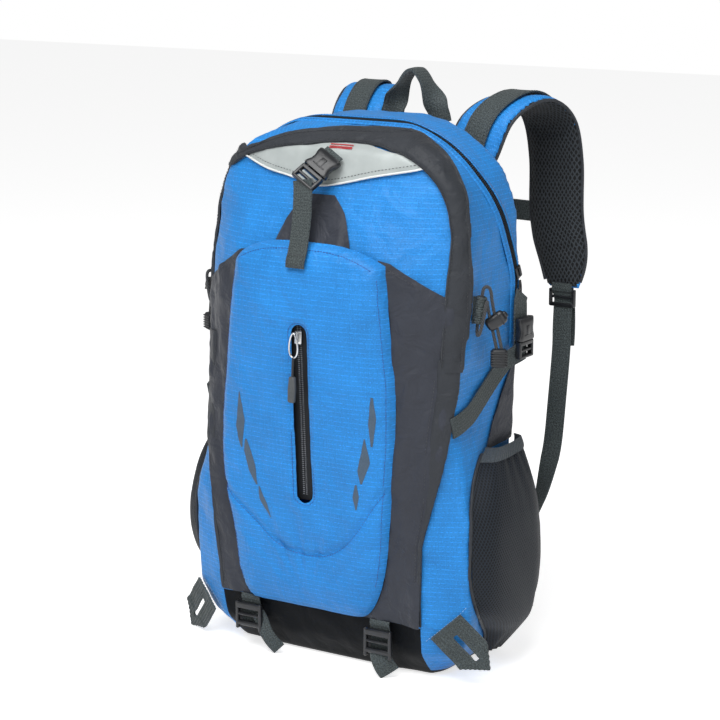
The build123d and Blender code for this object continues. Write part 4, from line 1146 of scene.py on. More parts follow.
for k, side in enumerate((1, -1)):
    section = [(side * 3.9, 1.2), (side * 3.7, 1.8), (side * 4.2, 2.3), (side * 5.2, 2.2), (side * 7.0, 1.5),
               (side * 9.0, 0.9), (side * 9.6, 0.1)]
    welt = ribbon_on_skin(f"main_zip_welt_{k}", main_line, section, main_facing)
    weld(welt)
    outfit(welt, ripstop, "blue_nylon", "pack")
    seam = ribbon_on_skin(f"guide_{k}", main_line, [(side * 7.0, 1.6), (side * 7.2, 1.6)], main_facing)
    edge = get_points(seam)[::2]
    bpy.data.objects.remove(seam)
    parts = [edge[i:i + 22] for i in range(0, len(edge) - 3, 21)]
    stitches(f"main_zip_stitches_{k}", [(p, skin_normals(p).mean(axis=0)) for p in parts], blue_thread,
             "pack", "blue_nylon", long=1.9, wide=0.45, pitch=3.0)

tape_top = -99.1
tape_foot = -89.8
slot_z = np.linspace(325, 159, 80)
slot_line = np.column_stack([np.full(80, ZIP_X), np.interp(slot_z, (162, 322), (tape_foot, tape_top)), slot_z])
slot_facing = np.tile(np.array([0.0, -0.9983, -0.058]), (80, 1))
strip_section = [(-9.5, -1.2), (-9.5, 0), (-2.4, 0.1), (2.4, 0.1), (12.5, 0), (12.5, -1.2)]
strip_rows = [[p + (a, -h, 0) for a, h in strip_section] for p in slot_line]
pocket_tape = grid_piece("pocket_zip_tape", strip_rows)
outfit(pocket_tape, zip_tape, "zip_tape", "pack", "pocket_zip")
for k, dx in enumerate((-1.5, 1.5)):
    row = slot_line[2:-2] + slot_facing[2:-2] * 0.1 + (dx, 0, 0)
    coil_teeth(f"pocket_zip_coil_{k}", row, slot_facing[2:-2], coil_painted_glints, "pack", "zip_tape",
               long=1.9, wide=1.2, pitch=1.9)


# ---- Hard parts: acetal buckles and locks, nickel-plated zip sliders, rubber grips. ----
# Most mouldings are rounded bars and blocks joined as one piece.
def moulded(name, low, high, roughness, grain, coat=0.0):
    """Injection-moulded plastic or rubber: a spark-eroded grain, slightly worn."""
    material, tree, output = blank_material(name)
    place = add_node(tree, "TexCoord")
    erosion = add_node(tree, "TexNoise", {"Vector": place.outputs["Object"], "Scale": 900.0, "Detail": 2.0})
    wear = add_node(tree, "TexNoise", {"Vector": place.outputs["Object"], "Scale": 120.0, "Detail": 4.0})
    tone = add_node(tree, "MixRGB", {0: wear.outputs["Fac"], 1: linear(low), 2: linear(high)})
    rough = add_node(
        tree, "MapRange",
        {"Value": wear.outputs["Fac"], "To Min": roughness - 0.08, "To Max": roughness + 0.08},
    )
    bump = add_node(tree, "Bump", {"Height": erosion.outputs["Fac"], "Distance": grain, "Strength": 0.4})
    shader = add_node(
        tree, "BsdfPrincipled",
        {"Base Color": tone.outputs[0], "Roughness": rough.outputs[0], "IOR": 1.48, "Normal": bump.outputs[0],
         "Coat Weight": coat},
    )
    finish_material(tree, output, shader)
    return material


# Acetal has a soft gloss; the rubbers are duller, with a coarser grain.
acetal = moulded("black_acetal", "#121316", "#24262a", 0.32, 0.0001)
rubber = moulded("grey_tpr_rubber", "#3c4043", "#54585b", 0.55, 0.0002)
black_rubber = moulded("black_tpr_rubber", "#15171a", "#26282c", 0.5, 0.0002)
# Nickel plate on cast zinc: a bright mirror, with fine scuffs that spread what it reflects.
nickel, tree, output = blank_material("nickel_plated_zinc")
place = add_node(tree, "TexCoord")
polish = add_node(tree, "TexNoise", {"Vector": place.outputs["Object"], "Scale": 500.0, "Detail": 3.0})
rough = add_node(tree, "MapRange", {"Value": polish.outputs["Fac"], "To Min": 0.12, "To Max": 0.28})
shader = add_node(
    tree, "BsdfPrincipled",
    {"Base Color": linear("#c4c5c6"), "Metallic": 1.0, "Roughness": rough.outputs[0]},
)
finish_material(tree, output, shader)


def block(name, size, bevel, segments=4):
    """A rounded block about the origin, in mm."""
    bpy.ops.object.select_all(action="DESELECT")
    bpy.ops.mesh.primitive_cube_add(size=1)
    piece = bpy.context.object
    piece.name = name
    set_points(piece, get_points(piece) * np.array(size) * MM)
    modify(piece, "BEVEL", width=bevel * MM, segments=segments, limit_method="NONE")
    return piece


def place_mesh(piece, origin, x_way, y_way):
    """Put a piece made about the origin into place, its axes along given directions."""
    x_way = np.asarray(x_way, float)
    x_way = x_way / np.linalg.norm(x_way)
    y_way = np.asarray(y_way, float)
    y_way = y_way - x_way * (x_way @ y_way)
    y_way = y_way / np.linalg.norm(y_way)
    turned = np.column_stack([x_way, y_way, np.cross(x_way, y_way)])
    set_points(piece, get_points(piece) @ turned.T + np.asarray(origin, float))
    return piece


def rounded_bar(size, bevel, segments, origin, x_way, y_way):
    """A rounded block put in its place, as one part of a moulding."""
    return place_mesh(block("part", size, bevel, segments), origin, x_way, y_way)


# Pocket zip puller: slider, wire ring, cord and a ribbed rubber grip.
slider_z = 310.0
slider_y = np.interp(slider_z, (162, 322), (tape_foot, tape_top)) - 0.4
parts = [rounded_bar((7.6, 12, 2.2), 1.0, 4, (ZIP_X, slider_y - 1.3, slider_z), (1, 0, 0), (0, 0.058, 0.998)),
         rounded_bar((2.4, 9.5, 3.0), 0.9, 4, (ZIP_X, slider_y - 3.6, slider_z + 0.5), (1, 0, 0), (0, 0.058, 0.998))]
outfit(joined("pocket_slider_body", parts), nickel, "metal", "pocket_slider", "pocket_zip_slider")
turn = np.linspace(0, 2 * math.pi, 41)
RING_TOP_Z = 316.0
RING_Y = -107.1
oval = np.column_stack([
    ZIP_X + 4.4 * np.sin(turn) * (1 - 0.25 * np.cos(turn)),
    np.full(41, RING_Y - 0.9),
    RING_TOP_Z - 12 + 11.0 * np.cos(turn),
])
ring = tube("pocket_zip_wire_ring", oval, 0.85, sides=10, ends=False)
weld(ring)
outfit(ring, nickel, "metal", "pocket_ring", "pocket_zip_ring")
grip_top = RING_TOP_Z - 24
pull_route = [(ZIP_X, RING_Y - 0.9, grip_top + 1.0), (ZIP_X - 0.3, RING_Y - 1.6, grip_top - 8),
              (ZIP_X - 0.8, RING_Y - 1.4, grip_top - 18)]
pull_cord = tube("grip_cord", smooth_line(pull_route, 14), 1.2)
grip = block("grip", (7.2, 24, 4.6), 1.9)
on_whole_mesh(grip, (bpy.ops.mesh.subdivide, {"number_cuts": 1}))
shape = get_points(grip)
shape[:, 0] *= 1 + 0.12 * np.cos(shape[:, 1] / 12 * math.pi / 2)
shape[:, 0] *= 1 - 0.16 * np.clip(shape[:, 1] / 12, 0, 1)
set_points(grip, shape)
ribs = [rounded_bar((5.4, 0.9, 5.2), 0.3, 2, (0, -7.5 + 3.2 * k, 0), (1, 0, 0), (0, 1, 0)) for k in range(4)]
grip = joined("grip", [grip] + ribs)
place_mesh(grip, (ZIP_X - 1.3, RING_Y - 1.6, grip_top - 28), (1, 0, -0.05), (0.05, 0, 1))
outfit(grip, rubber, "rubber", "pocket_grip", "pocket_zip_grip")
outfit(pull_cord, black_rubber, "rubber", "pocket_grip")

# Main zip pullers: a black slider, a doubled cord and a moulded end, one on each side.
for tag, side in SIDES.items():
    x = side * 137.6
    parts = [rounded_bar((11.5, 8.6, 2.0), 0.9, 4, (x, 46, 361), (0, -0.42, 0.907), (0, 0.907, 0.42)),
             rounded_bar((8.0, 2.2, 2.2), 0.8, 4, (x + side * 1.6, 46, 361), (0, -0.42, 0.907), (0, 0.907, 0.42))]
    outfit(joined(f"main_slider_body_{tag}", parts), acetal, "metal", f"main_slider_{tag}", f"main_zip_slider_{tag}")
    px = side * 138.7
    loop = smooth_line([(px, 46.6, 353.5), (px, 45.8, 347), (px, 46.1, 336), (px, 47.5, 328), (px, 48.9, 336),
                        (px, 49.2, 347), (px, 47.4, 353.5)], 40)
    cord = tube(f"main_pull_cord_{tag}", loop, 0.85)
    end = rounded_bar((5.0, 22, 3.4), 1.4, 4, (px, 47.5, 318), (0, 1, 0), (0, 0, 1))
    ribs = [rounded_bar((5.4, 1.0, 3.9), 0.35, 2, (px, 47.5, 310 + 3.2 * k), (0, 1, 0), (0, 0, 1)) for k in range(5)]
    outfit(joined(f"main_pull_end_{tag}", [end] + ribs), black_rubber, "rubber", f"main_pull_{tag}",
           f"main_zip_pull_{tag}")
    outfit(cord, black_rubber, "rubber", f"main_pull_{tag}")


# ---- Side panels, straps and stretch pockets, the same on both sides. ----
# The pocket is a knitted bag with an elastic hem, pulled in at its mouth; the strap crosses the
# side above it and runs up to its buckle.
def knitted(name, strand, gap, pitch, lean, gloss):
    """Open knitted mesh: strands crossing at a lean, with holes between them painted dark as shade."""
    material, tree, output = blank_material(name)
    place = add_node(tree, "UVMap")
    tone = None
    for angle in (lean, -lean):
        turned = add_node(
            tree, "Mapping",
            {"Vector": place.outputs[0], "Rotation": (0, 0, math.radians(angle)), "Scale": (1000, 1000, 1000)},
        )
        bands = add_node(
            tree, "TexWave", {"Vector": turned.outputs[0], "Scale": BAND_EACH_MM / pitch}, bands_direction="X"
        )
        tone = bands.outputs["Fac"] if tone is None else add_node(
            tree, "Math", {0: tone, 1: bands.outputs["Fac"]}, operation="MAXIMUM"
        ).outputs[0]
    open_part = add_node(
        tree, "MapRange", {"Value": tone, "From Min": 0.62, "From Max": 0.9}
    )
    # Holes get the gap colour: painted shade where the net is open.
    colour = add_node(tree, "MixRGB", {0: open_part.outputs[0], 1: linear(gap), 2: linear(strand)})
    bump = add_node(tree, "Bump", {"Height": open_part.outputs[0], "Distance": 0.0006, "Strength": 0.7})
    shader = add_node(
        tree, "BsdfPrincipled",
        {"Base Color": colour.outputs[0], "Roughness": gloss, "Sheen Weight": 0.05,
         "Specular IOR Level": 0.2, "Normal": bump.outputs[0]},
    )
    finish_material(tree, output, shader)
    return material


def flip(piece):
    """Turn every face of a mesh round."""
    on_whole_mesh(piece, (bpy.ops.mesh.flip_normals, {}))


def face_sideways(piece, side):
    """Turn the faces of a side piece away from the middle of the bag."""
    if (face_middles(piece)[1][:, 0] * side).mean() < 0:
        flip(piece)


# Stretch mesh: a dark net with a dull shimmer, its holes painted near-black as the shade behind the net and drawn wider
# than real ones, to show.
stretch_mesh = knitted("black_stretch_mesh", "#222932", "#090b0f", 2.6, 32, 0.62)
# Ribbed elastic: a dull grey edge, lighter than the mesh below it.
elastic = woven("grey_ribbed_elastic", "#454b50", 1.3, 0.3, 0.2, 0.6, speckle=(0.75, 1.2))
MESH_LEVELS = np.array([
    (3, 30, 122), (30, 9, 147), (47, -17, 161), (68, -44, 168), (95, -56, 171), (125, -58, 171),
    (156, -52, 169), (175, -43, 165.5), (188, -34, 160), (200, -20, 152), (208, -6, 147),
])
MESH_BULGE = ((0.09, 0.72), (0.28, 1.0), (0.7, 1.0), (0.86, 0.75), (0.96, 0.3))


def on_side(y, z, side, lift=0.0):
    """Places on the side of the bag."""
    y = np.asarray(y, float)
    z = np.asarray(z, float)
    return wrap(np.column_stack([side * side_x(y, z), y, z]), lift)


def pocket_section(z, side, columns):
    """Line round the stretch pocket at one height, from its front seam to the back."""
    fine = smooth_line(MESH_LEVELS, 80)
    seam_y, reach = [np.interp(z, fine[:, 0], fine[:, k]) for k in (1, 2)]
    start = side_x(seam_y, z) + 0.8
    end = side_x(55.5, z) + 1.5
    depth = reach - start
    tight = 0.45 * np.clip((z - 150) / 50, 0, 1)
    line = [(start, seam_y)]
    line += [(start + depth * out * (1 - tight * way), seam_y + (56 - seam_y) * way) for way, out in MESH_BULGE]
    line += [(end, 56)]
    return np.column_stack([smooth_line(line, columns), np.full(columns, z)]) * (side, 1, 1)


def off_pouch(line, side):
    """Directions away from the stretch pocket along a line round it."""
    away = np.stack([np.full(len(line), side), (line[:, 1] - 30) / 60, np.zeros(len(line))], axis=1)
    return away / np.linalg.norm(away, axis=1, keepdims=True)


def along_sides(loop, steps):
    """Places along the straight sides of a closed outline, steps to a side."""
    loop = np.asarray(loop, float)
    return np.vstack([np.linspace(a, b, steps, endpoint=False) for a, b in zip(loop, np.roll(loop, -1, axis=0))])


for tag, side in SIDES.items():
    loop = along_sides([(54.5, 288), (54.5, 206), (-4, 206)], 20)
    panel = cut_cloth(f"side_panel_cloth_{tag}", [loop], 3.0)
    flat = get_points(panel)[:, [0, 2]]
    rim, _ = cut_distance(flat, [loop])
    set_points(panel, on_side(flat[:, 0], flat[:, 1], side, 1.0 + 0.7 * (1 - np.exp(-np.maximum(rim, 0) / 4))
                              + 0.4 * flat_bumps(flat, 22, 51)))
    weld(panel, outwards=False)
    if side > 0:
        flip(panel)
    modify(panel, "SOLIDIFY", thickness=0.8 * MM, offset=-1)
    outfit(panel, charcoal, "grey_nylon", "pack", "side_panels")

    heights = np.concatenate([np.linspace(3, 60, 16)[:-1], np.linspace(60, 200, 40)])
    rows = []
    for z in heights:
        line = pocket_section(z, side, 44)
        t = np.linspace(0, 1, 44)
        away = off_pouch(line, side)
        near_top = np.exp(-((200 - z) / 22))
        near_foot = np.exp(-((z - 3) / 22))
        fold = 1.1 * np.sin(t * 46 + 0.4 * np.sin(z / 9)) * near_top + 1.3 * np.sin(t * 30 + 1 + z / 30) * near_foot
        fold += 0.5 * np.sin(t * 12 + z / 16)
        fold *= np.sin(math.pi * t) ** 0.6
        rows.append(line + away * fold[:, None])
    pouch = grid_piece(f"mesh_pocket_cloth_{tag}", rows)
    weld(pouch, outwards=False)
    face_sideways(pouch, side)
    modify(pouch, "SOLIDIFY", thickness=0.8 * MM, offset=-1)
    outfit(pouch, stretch_mesh, "pocket_mesh", "pack", f"mesh_pocket_{tag}")

    rows = []
    for z, out in ((198.5, 0.2), (198.8, 1.2), (200.5, 1.7), (203, 1.9), (206, 1.8), (208.2, 1.3), (208.6, 0.2)):
        line = pocket_section(z, side, 150)
        t = np.linspace(0, 1, 150)
        away = off_pouch(line, side)
        rows.append(line + away * (out + 0.35 * np.sin(t * 150))[:, None])
    hem = grid_piece(f"pocket_hem_elastic_{tag}", rows)
    weld(hem, outwards=False)
    face_sideways(hem, side)
    modify(hem, "SOLIDIFY", thickness=1.6 * MM, offset=-1)
    outfit(hem, elastic, "elastic", "pack", "pocket_hems")

    seam_z = np.linspace(4, 204, 70)
    fine = smooth_line(MESH_LEVELS, 80)
    seam_y = np.interp(seam_z, fine[:, 0], fine[:, 1])
    edge = on_side(seam_y - 0.5, seam_z, side, 1.4)
    outfit(tube(f"mesh_pocket_binding_{tag}", edge, 1.5), band_nylon, "grey_nylon", "pack")

    run = smooth_line([(-59, 236), (-44, 241), (-30, 246), (0, 265), (28, 283)], 34)
    line = on_side(run[:, 0], run[:, 1], side, 3.2)
    lift_off = np.clip((run[:, 0] - 10) / 34, 0, 1) ** 1.5
    line[:, 0] += side * 5.5 * lift_off
    line = smooth_line(np.vstack([line[::3], [(side * 142.5, 35, 287.5), (side * 146, 42, 291)]]), 60)
    side_tape = tape(f"side_strap_webbing_{tag}", line, (side, 0, 0), 20, 1.7)
    side_tape.data.materials.append(webbing)
    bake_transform(side_tape)
    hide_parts(f"side_strap_{tag}")


# ---- Pole holders: a webbing tab with a sleeve, a looped shock cord, a cord lock and an end. ----
# From its end the cord runs up past the lock, turns down beside the sleeve, goes up through that,
# and comes back down past the lock to its end.
# Braided cover: a slanting plait of black and grey yarn.
braid, tree, output = blank_material("black_braided_shock_cord")
place = add_node(tree, "TexCoord")
plait = add_node(
    tree, "TexWave", {"Vector": place.outputs["Object"], "Scale": 220.0, "Distortion": 3.0, "Detail": 1.0},
    bands_direction="DIAGONAL",
)
tone = add_node(tree, "MixRGB", {0: plait.outputs["Fac"], 1: linear("#1b1d20"), 2: linear("#3b3e42")})
bump = add_node(tree, "Bump", {"Height": plait.outputs["Fac"], "Distance": 0.0003, "Strength": 0.6})
shader = add_node(
    tree, "BsdfPrincipled",
    {"Base Color": tone.outputs[0], "Roughness": 0.6, "Sheen Weight": 0.2, "Normal": bump.outputs[0]},
)
finish_material(tree, output, shader)
CORD_ROUTE = [
    (15.2, 304.5, 0), (7.0, 340, 0), (6.6, 347.5, 2.4), (5.4, 346, 8.0), (4.0, 337, 8.2), (1.2, 324, 7.6),
    (-0.6, 317.5, 6.2), (-2.4, 316.5, 1.2), (-1.9, 327, 0), (1.9, 351, 0), (3.4, 360, 0), (9.6, 359, 0),
    (10.8, 344, 0), (19.6, 304.5, 0),
]
HOLDER_TURN = math.radians(33)
for tag, side in SIDES.items():
    out_way = np.array([side * math.cos(HOLDER_TURN), math.sin(HOLDER_TURN), 0])
    off_way = np.cross(out_way, (0, 0, 1))
    origin = np.array([side * 142.6, -32, 0])

    def in_holder(x, z, off=0.0):
        """Place in mm from out, up and off the plane of the holder."""
        return origin + out_way * x + np.array([0, 0, z]) + off_way * side * off

    foot = in_holder(-1.9, 327)
    head = in_holder(1.9, 351)
    rows = []
    lengths = np.linspace(0, 1, 49)
    up = (head - foot) / np.linalg.norm(head - foot)
    first = out_way - up * (out_way @ up)
    first /= np.linalg.norm(first)
    second = np.cross(up, first)
    for t in lengths:
        radius = 3.7 + 0.35 * math.cos(t * 2 * math.pi * 12)
        turn = np.linspace(0, 2 * math.pi, 19)[:, None]
        rows.append(foot + (head - foot) * t + radius * (np.cos(turn) * first + np.sin(turn) * second))
    sleeve = grid_piece("sleeve", rows)
    weld(sleeve)
    modify(sleeve, "SOLIDIFY", thickness=1.2 * MM, offset=-1)
    flap_rows = []
    for t in np.linspace(0, 1, 12):
        z = 327 + 24 * t
        spot = in_holder(-1.9 + 3.8 * t - 3.6, z)
        anchor = on_side([-36 + 2 * t], [z], side, 0.6)[0]
        flap_rows.append([anchor + (spot - anchor) * s for s in np.linspace(0, 1, 8)])
    flap = grid_piece("flap", flap_rows)
    modify(flap, "SOLIDIFY", thickness=1.8 * MM, offset=0)
    outfit(joined(f"pole_tab_sleeve_{tag}", [sleeve, flap]), webbing, "webbing", "pack", "pole_tabs")

    curve = bpy.data.curves.new(f"shock_cord_loop_{tag}", "CURVE")
    curve.dimensions = "3D"
    curve.bevel_depth = 1.5 * MM
    curve.bevel_resolution = 3
    curve.resolution_u = 10
    spline = curve.splines.new("NURBS")
    spline.points.add(len(CORD_ROUTE) - 1)
    for point, (x, z, off) in zip(spline.points, CORD_ROUTE):
        point.co = (*(in_holder(x, z, off) * MM), 1)
    spline.order_u = 3
    spline.use_endpoint_u = True
    loop = bpy.data.objects.new(f"shock_cord_loop_{tag}", curve)
    bpy.context.collection.objects.link(loop)
    curve.materials.append(braid)
    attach(loop, "pack")
    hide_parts(f"shock_cord_{tag}")

    turn = math.radians(36)
    long_way = out_way * math.cos(turn) + np.array([0, 0, math.sin(turn)])
    short_way = -out_way * math.sin(turn) + np.array([0, 0, math.cos(turn)])
    barrel = rounded_bar((19.6, 12.6, 8.8), 4.2, 5, in_holder(14.5, 329.5), long_way, short_way)
    button = rounded_bar((6.0, 6.4, 5.4), 2.2, 4, in_holder(14.5, 329.5) + long_way * 8.6, long_way, short_way)
    groove = rounded_bar((1.2, 12.9, 9.1), 0.5, 2, in_holder(14.5, 329.5) + long_way * 4.0, long_way, short_way)
    outfit(joined(f"cord_lock_barrel_{tag}", [barrel, button, groove]), acetal, "black_plastic", f"cord_lock_{tag}",
           f"cord_lock_{tag}")
    centre = in_holder(17.4, 296)
    down = np.array([0.0, 0.0, 1.0])
    parts = [rounded_bar((13.6, 16.6, 9.6), 2.6, 4, centre, out_way, down)]
    for k in range(6):
        parts.append(rounded_bar((14.8, 1.3, 10.8), 0.5, 2, centre + down * (-6.2 + 2.3 * k), out_way, down))
    outfit(joined(f"cord_end_ribbed_{tag}", parts), black_rubber, "black_plastic", "pack", f"cord_end_{tag}")


# ---- Side-release buckles: acetal, 20 mm. The female half is a hollow shell. ----
# The male half carries two prongs and the ladder bars that hold its strap.
def buckle_half_female(name, mouth, down, across, width, body, node, hollow=8.0, length=21.0):
    """Shell of a buckle: its mouth looks down; a ladder bar at the other end holds the tab."""
    normal = np.cross(across, down)
    rows = []
    for s, wide, thick in ((0.0, 1.0, 0.92), (1.2, 1.06, 1.0), (3.5, 1.04, 1.0), (7.0, 0.9, 1.0), (11.0, 0.88, 0.98),
                           (14.0, 0.94, 0.95), (16.0, 1.0, 0.88), (19.8, 1.02, 0.78), (20.6, 0.98, 0.62)):
        half = (width + 5) / 2 * wide
        depth = hollow / 2 * thick
        turn = np.linspace(0, 2 * math.pi, 33)
        c, d = np.cos(turn), np.sin(turn)
        ring = np.column_stack([np.sign(c) * np.abs(c) ** 0.35 * half, np.sign(d) * np.abs(d) ** 0.5 * depth])
        rows.append([mouth - down * s * length / 21 + across * a + normal * b for a, b in ring])
    shell = grid_piece("shell", rows)
    weld(shell)
    modify(shell, "SOLIDIFY", thickness=1.5 * MM, offset=-1)
    back_wall = rounded_bar((width + 2.4, 6.0, hollow * 0.74), 1.0, 4, mouth - down * length * 0.86, across, down)
    parts = [shell, back_wall]
    for way in (1, -1):
        rib = rounded_bar((width - 7, 1.1, 0.9), 0.3, 2, mouth - down * 5 + normal * way * hollow / 2, across, down)
        parts.append(rib)
        tongue_mark = rounded_bar((5.5, 9.5, 0.9), 0.35, 2, mouth - down * 9 + normal * way * hollow / 2 * 0.98,
                                 across, down)
        parts.append(tongue_mark)
    outfit(joined(name, parts), acetal, "black_plastic", body, node)


def buckle_half_male(name, mouth, down, across, width, body, node, hollow=8.0):
    """Prongs and ladder bars of a buckle, below its mouth."""
    normal = np.cross(across, down)
    parts = []
    for side in (1, -1):
        prong = mouth - down * 5.6 + across * side * (width / 2 - 2)
        parts.append(rounded_bar((3.2, 14, 3.4), 0.8, 4, prong, across, down))
        frame_side = mouth + down * 8.6 + across * side * (width / 2 + 0.9)
        parts.append(rounded_bar((3.0, 14.5, 5.6), 1.0, 4, frame_side, across, down))
    parts.append(rounded_bar((2.2, 14, 3.0), 0.6, 4, mouth - down * 5.6, across, down))
    for s, thick, deep in ((2.6, 4.2, 5.8), (9.2, 2.8, 4.4), (15.0, 2.8, 5.8)):
        parts.append(rounded_bar((width + 4.4, thick, deep), 1.1, 4, mouth + down * s, across, down))
    outfit(joined(name, parts), acetal, "black_plastic", body, node)


front_top = np.array([7.0, -64, 467])
front_foot = np.array([-6.0, -88, 447])
front_down = (front_foot - front_top) / np.linalg.norm(front_foot - front_top)
front_across = np.cross(front_down, (0, -1, 0))
front_across /= np.linalg.norm(front_across)
front_mouth = front_top + front_down * 19
buckle_half_female("front_buckle_shell", front_mouth, front_down, front_across, 20, "pack", "front_buckle_female")
buckle_half_male("front_buckle_prongs", front_mouth, front_down, front_across, 20, "front_buckle", "front_buckle_male")
for tag, side in SIDES.items():
    mouth = np.array([side * 146, 44, 300.0])
    across = np.array([0, -side, 0.0])
    down = np.array([0, 0, -1.0])
    buckle_half_female(f"side_buckle_shell_{tag}", mouth, down, across, 20, "pack", f"side_buckle_female_{tag}")
    buckle_half_male(f"side_buckle_prongs_{tag}", mouth, down, across, 20, f"side_buckle_{tag}",
                     f"side_buckle_male_{tag}")


def once(tag, node):
    """The CAD node that a pair of pieces shares, for the right-hand one of them."""
    return [node] if tag == "r" else []


tab_line = smooth_line([front_top - front_down * 6.6, front_top - front_down * 3, front_top + front_down * 1.5], 12)
front_normal = np.cross(front_across, front_down)
front_tab = tape("front_buckle_webbing_tab", tab_line, front_normal, 19.5, 1.8)
outfit(front_tab, webbing, "webbing", "pack", "front_buckle_tab")
for tag, side in SIDES.items():
    x = side * 141.2
    line = smooth_line([(x - side * 2.6, 51, 341), (x - side * 1.2, 46.5, 334), (x, 44, 322),
                        (x + side * 0.4, 44, 302), (x + side * 0.2, 44, 286)], 40)
    tab = tape(f"side_buckle_webbing_tab_{tag}", line, (side, -0.12, 0), 19.5, 1.7)
    outfit(tab, webbing, "webbing", "pack", *once(tag, "side_buckle_tabs"))


# ---- Base straps: 22 mm webbing in acetal ladder locks, tails hanging in front of the base. ----
# The webbing comes down behind the bars of its lock, clear of the frame when that flips out; the
# right tail hangs straight, and the left one is folded narrower and drifts to the right.
def ladder_lock(name, centre, across, down, width, body, *nodes):
    """Frame of a ladder lock with three rounded bars."""
    normal = np.cross(across, down)
    parts = []
    for side in (1, -1):
        parts.append(rounded_bar((3.0, 27, 4.6), 1.2, 4, centre + across * side * (width / 2 + 1.9), across, down))
    for s, thick, deep, out in ((-9.8, 6.4, 5.4, 0.2), (-1.2, 3.0, 4.0, 0.0), (7.6, 4.6, 5.4, 0.4)):
        parts.append(rounded_bar((width + 5.0, thick, deep), 1.7, 4, centre + down * s + normal * out, across, down))
    outfit(joined(name, parts), acetal, "black_plastic", body, *nodes)


for tag, x in (("r", 67.0), ("l", -76.0)):
    ladder_lock(f"base_ladder_frame_{tag}", np.array([x, -78.0, 32.0]), np.array([1.0, 0, 0]), np.array([0, 0, -1.0]),
                22, f"base_lock_{tag}", f"base_ladder_lock_{tag}")
    path = [(-74.8, 53), (-75.5, 50), (-74.4, 46), (-73.6, 42), (-73.4, 35), (-73.3, 27), (-72.6, 21)]
    strap_in = tape(f"base_strap_webbing_{tag}", smooth_line([(x, y, z) for y, z in path], 40), (0, -1, 0.15), 21, 1.6)
    if tag == "r":
        tail, wide = [(1, -75.2, 25), (2.5, -76.8, 20), (6, -76.5, 12), (10, -73.5, 4.5)], 20
    else:
        tail, wide = [(8, -75.1, 36), (12.5, -75.0, 29), (18, -77.2, 21), (24.5, -76.8, 12.5), (31, -73.5, 4.5)], 13
    tail = smooth_line([(x + dx, y, z) for dx, y, z in tail], 30)
    tail_piece = tape(f"base_strap_tail_{tag}", tail, (0.25, -1, 0.35), wide, 1.6, sag=0.6)
    outfit(strap_in, webbing, "webbing", "pack", *once(tag, "base_straps"))
    outfit(tail_piece, webbing, "webbing", "pack")


# ---- Gear loops: webbing folded to a point, with a slit, sewn into the lower front corners. ----
# The right loop is sewn in 15 mm higher than the left one.
def gear_loop(name, loop, slit, origin, u_way, v_way, outwards, node):
    """Two strips of webbing side by side with a slit between them, folded over into a point."""
    outlines = [along_sides(loop, 14), along_sides(slit, 8)]
    piece = cut_cloth(name, outlines, 0.9)
    flat = get_points(piece)[:, [0, 2]]
    rim, _ = cut_distance(flat, outlines)
    middle = np.abs(flat[:, 0])
    height = 0.9 * np.clip((flat[:, 1] - 38 + 0.3 * middle) / 2, 0, 1) + 0.4 * flat_bumps(flat, 30, 61)
    height += 0.3 * np.exp(-np.maximum(rim, 0) / 1.2) - 0.5 * np.exp(-(middle / 1.1) ** 2)
    height += 0.3 * np.sin(middle * 2 * math.pi / 3.2)
    set_points(piece, origin + flat[:, :1] * u_way + flat[:, 1:] * v_way + height[:, None] * outwards)
    modify(piece, "SOLIDIFY", thickness=2.2 * MM, offset=0)
    outfit(piece, loop_webbing, "webbing", node, node)


# The webbing of the loops, its ribs a little flatter.
loop_webbing = woven("grey_green_ribbed_webbing", "#454c4d", 3.0, 0.5, 0.12, 0.65, speckle=(0.55, 1.45), fleck=0.85)
# Pale thread that stands out on the blue.
pale_thread = thread("pale_blue_polyester_thread", "#8ab4dc")
LOOP = [(-18.2, 0), (18.2, 0), (18.2, 35), (2, 56), (-18.2, 38)]
LOOP_SLIT = [(-2.6, 12), (2.6, 12), (2.6, 42), (-2.6, 42)]
for tag, side in SIDES.items():
    along = np.array([0.697, side * 0.225, side * 0.681])
    outwards = np.array([side * 0.398, -0.915, -0.105])
    root = np.array([side * 131.3, -66.0, 57.2 if side > 0 else 42.2]) + outwards * 1.8
    down = np.cross(along, outwards)
    gear_loop(f"gear_loop_folded_{tag}", LOOP, LOOP_SLIT, root, along, down if down[2] < 0 else -down,
              outwards, f"gear_loop_{tag}")
    seam = wrap(root + along * np.linspace(-26, 26, 30)[:, None], 0.4)
    stitches(f"gear_loop_stitches_{tag}", [(seam, outwards)], pale_thread, "pack", "blue_nylon",
             long=2.0, wide=0.6, pitch=3.2)


# ---- Back: a spacer-mesh panel with two padded columns that rest on the wearer's back. ----
# The panel is bound all round; each column is foam, quilted across in three places.
# Spacer mesh: an open knit over foam, its holes painted dark as the shade inside them and drawn wider than real ones,
# to show.
spacer = knitted("black_spacer_mesh", "#34393e", "#0f1113", 3.4, 30, 0.7)


def crown(piece, pressure, cap, frames=20):
    """Blow a pad up a little as cloth, so that it crowns as foam does under its cover."""
    before = get_points(piece)
    lone(piece)
    added = piece.modifiers.new("cloth", "CLOTH")
    added.settings.use_pressure = True
    added.settings.uniform_pressure_force = pressure
    added.settings.effector_weights.gravity = 0
    added.settings.tension_stiffness = 40
    added.settings.compression_stiffness = 40
    added.settings.bending_stiffness = 2
    added.point_cache.frame_start = 1
    added.point_cache.frame_end = frames
    for number in range(1, frames + 1):
        bpy.context.scene.frame_set(number)
    bpy.ops.object.modifier_apply(modifier=added.name)
    after = get_points(piece)
    move = (after - before) * (0, 1, 1)
    reach = np.linalg.norm(move, axis=1, keepdims=True)
    set_points(piece, before + move * np.minimum(1, cap / np.maximum(reach, 1e-6)))
    bpy.context.scene.frame_set(1)


